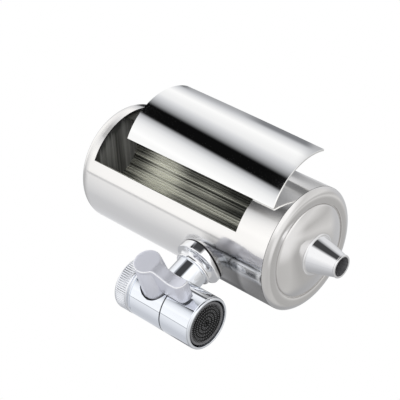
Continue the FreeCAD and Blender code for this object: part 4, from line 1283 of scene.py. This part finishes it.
WHITE = (1.0, 1.0, 1.0)
ROOM = (
    Ring(-0.93, 0.16, (1.0, 0.995, 0.985), (
        (-180, 0.62), (-136, 0.8), (-112, 1.2), (-60, 1.2), (-24, 0.75), (15, 0.85), (31, 0.58), (45, 0.78),
        (58, 0.52), (78, 0.5), (92, 0.64), (120, 0.6), (152, 0.63))),
    Ring(-0.28, 0.28, (0.985, 0.995, 1.02), (
        (-180, 0.72), (-159, 0.85), (-140, 1.0), (-95, 1.0), (-84, 0.35), (-78, 0.06), (-43, 0.06),
        (-36, 0.4), (-19, 0.78), (7, 0.8), (35, 0.65), (53, 0.62), (70, 0.5), (91, 0.43), (118, 0.43),
        (145, 0.51), (173, 0.66))),
    Ring(0.485, 0.05, (0.98, 0.99, 1.02), (
        (-180, 0.55), (-167, 0.6), (-154, 1.08), (-105, 1.08), (-96, 0.95), (-90, 0.6), (-80, 0.25),
        (-68, 0.15), (-60, 0.2), (-55, 0.28), (-43, 0.5), (-31, 0.62), (-6, 0.62), (5, 0.57), (17, 0.48),
        (29, 0.47), (41, 0.64), (55, 0.66), (64, 0.3), (82, 0.2), (107, 0.2), (119, 0.2), (131, 0.16),
        (143, 0.1), (155, 0.14), (168, 0.26))),
    Ring(0.537, 0.012, (0.975, 0.99, 1.03), (
        (-180, 0.87), (-174, 0.9), (-172.8, 0.4), (-171.2, 0.4), (-170, 1.06), (-142, 1.02), (-134, 1.08),
        (-117, 0.93), (-109, 0.78), (-101, 0.47), (-97.2, 0.08), (-95.5, 0.004), (-75, 0.004), (-72.5, 0.09),
        (-68, 0.3), (-60, 0.55), (-51, 0.75), (-43, 0.92), (-19, 1.05), (-2, 0.75), (5, 0.6), (13, 0.47),
        (24, 0.4), (45, 0.47), (62, 0.9), (70, 0.9), (82, 0.77), (94, 0.67), (119, 0.61), (143, 0.63),
        (168, 0.8), (179, 0.86))),
    Cards(0.9, (0.2, 0.205, 0.22), (((8, 62, 12), (0.537, 0.008, 0.578, 0.02)),)),
    Cards(0.85, (0.85, 0.85, 0.87), (((-112, -36, 14), (0.648, 0.008, 0.69, 0.04)),)),
    Cards(0.9, (0.15, 0.152, 0.16), (
        ((66, 98, 14), (0.529, 0.008, 0.568, 0.016)), ((100, 172, 14), (0.529, 0.008, 0.547, 0.012)))),
    Ring(0.68, 0.08, (0.98, 0.99, 1.02), (
        (-180, 0.6), (-120, 0.95), (-60, 1.0), (-30, 0.95), (20, 0.75), (50, 0.65), (90, 0.45), (165, 0.5))),
    Cards(1.0, (0.006, 0.006, 0.007), (((12, 54, 10), (0.624, 0.012, 0.7, 0.08)),)),
)


@dataclass
class Studio:
    """Camera, lamps, world and floor."""

    eye: tuple[float, float, float] = (-203.8, -493.5, -398.4)
    view: tuple[float, float, float] = (0.3814, 0.7148, 0.5861)
    up: tuple[float, float, float] = (0.6666, -0.6519, 0.3614)
    lens: float = 117.0
    lamp: tuple[float, float, float] = (-0.7, -1.1, 0.3)
    lamp_size: float = 0.8
    watts: float = 6.0
    ground: float = -1.3

    def camera(self) -> None:
        """The photograph's camera."""
        data = bpy.data.cameras.new("portrait")
        data.lens, data.sensor_width = self.lens, 36.0
        data.clip_start, data.clip_end = 0.01, 20.0
        made = bpy.data.objects.new("portrait", data)
        back = -Vector(self.view).normalized()
        right = Vector(self.up).cross(back).normalized()
        turn = Matrix([right, back.cross(right), back]).transposed().to_4x4()
        made.matrix_world = Matrix.Translation(Vector(self.eye) * MM) @ turn
        bpy.context.scene.collection.objects.link(made)
        bpy.context.scene.camera = made

    def world(self) -> None:
        """A white room with soft grey bands and dark cards that stand round the object."""
        room = bpy.data.worlds.new("studio")
        bpy.context.scene.world = room
        room.use_nodes = True
        graph = Graph(room.node_tree)
        x, y, z = graph.parts(graph.add("ShaderNodeTexCoord", {}, {}, "Generated"))
        turn = y.bearing(x) * (1 / FULL) + 0.5
        light = WHITE
        for layer in ROOM:
            light = layer.over(light, turn, z)
        light = graph.blend(z.above(0.94, 0.1), light, WHITE)
        rays = graph.node("ShaderNodeLightPath", {}, {})
        colour = graph.blend(Signal(graph, rays.outputs["Is Camera Ray"]), light, WHITE)
        shine = graph.node("ShaderNodeBackground", {}, {"Color": colour, "Strength": 1.0})
        graph.node("ShaderNodeOutputWorld", {}, {"Surface": shine.outputs[0]})

    def lamps(self) -> None:
        """One large soft lamp on the lever's side."""
        data = bpy.data.lights.new("softbox", "AREA")
        data.energy, data.size, data.size_y = self.watts, self.lamp_size, self.lamp_size
        data.shape = "RECTANGLE"
        lamp = bpy.data.objects.new("softbox", data)
        spot = Vector(self.lamp)
        lamp.location = spot
        lamp.visible_glossy = False
        lamp.rotation_euler = (Vector((0.05, 0, 0)) - spot).to_track_quat("-Z", "Y").to_euler()
        bpy.context.scene.collection.objects.link(lamp)

    def floor(self) -> None:
        """A pale floor well below the object."""
        reach = np.linspace(-4.0, 4.0, 9)
        points = np.stack([*np.meshgrid(reach, reach), np.full((9, 9), self.ground)], -1)
        made = build("floor", [grid(points, wrap_columns=False)])
        made.data.materials.append(finish_of(PALE_FLOOR))
        made.visible_glossy = False

    def build(self) -> None:
        """Sets up the studio."""
        self.camera()
        self.world()
        self.lamps()
        self.floor()
        bpy.context.scene.view_settings.view_transform = "Standard"


def main() -> None:
    """Builds the studio and each sub-assembly in order."""
    logging.basicConfig(level=logging.INFO, format="%(message)s")
    for part in (Studio(), FaucetNut(), DiverterValve(), DiverterLever(), Canister(), FibreCore()):
        LOG.info("building %s", type(part).__name__)
        part.build()


if __name__ == "__main__":
    main()
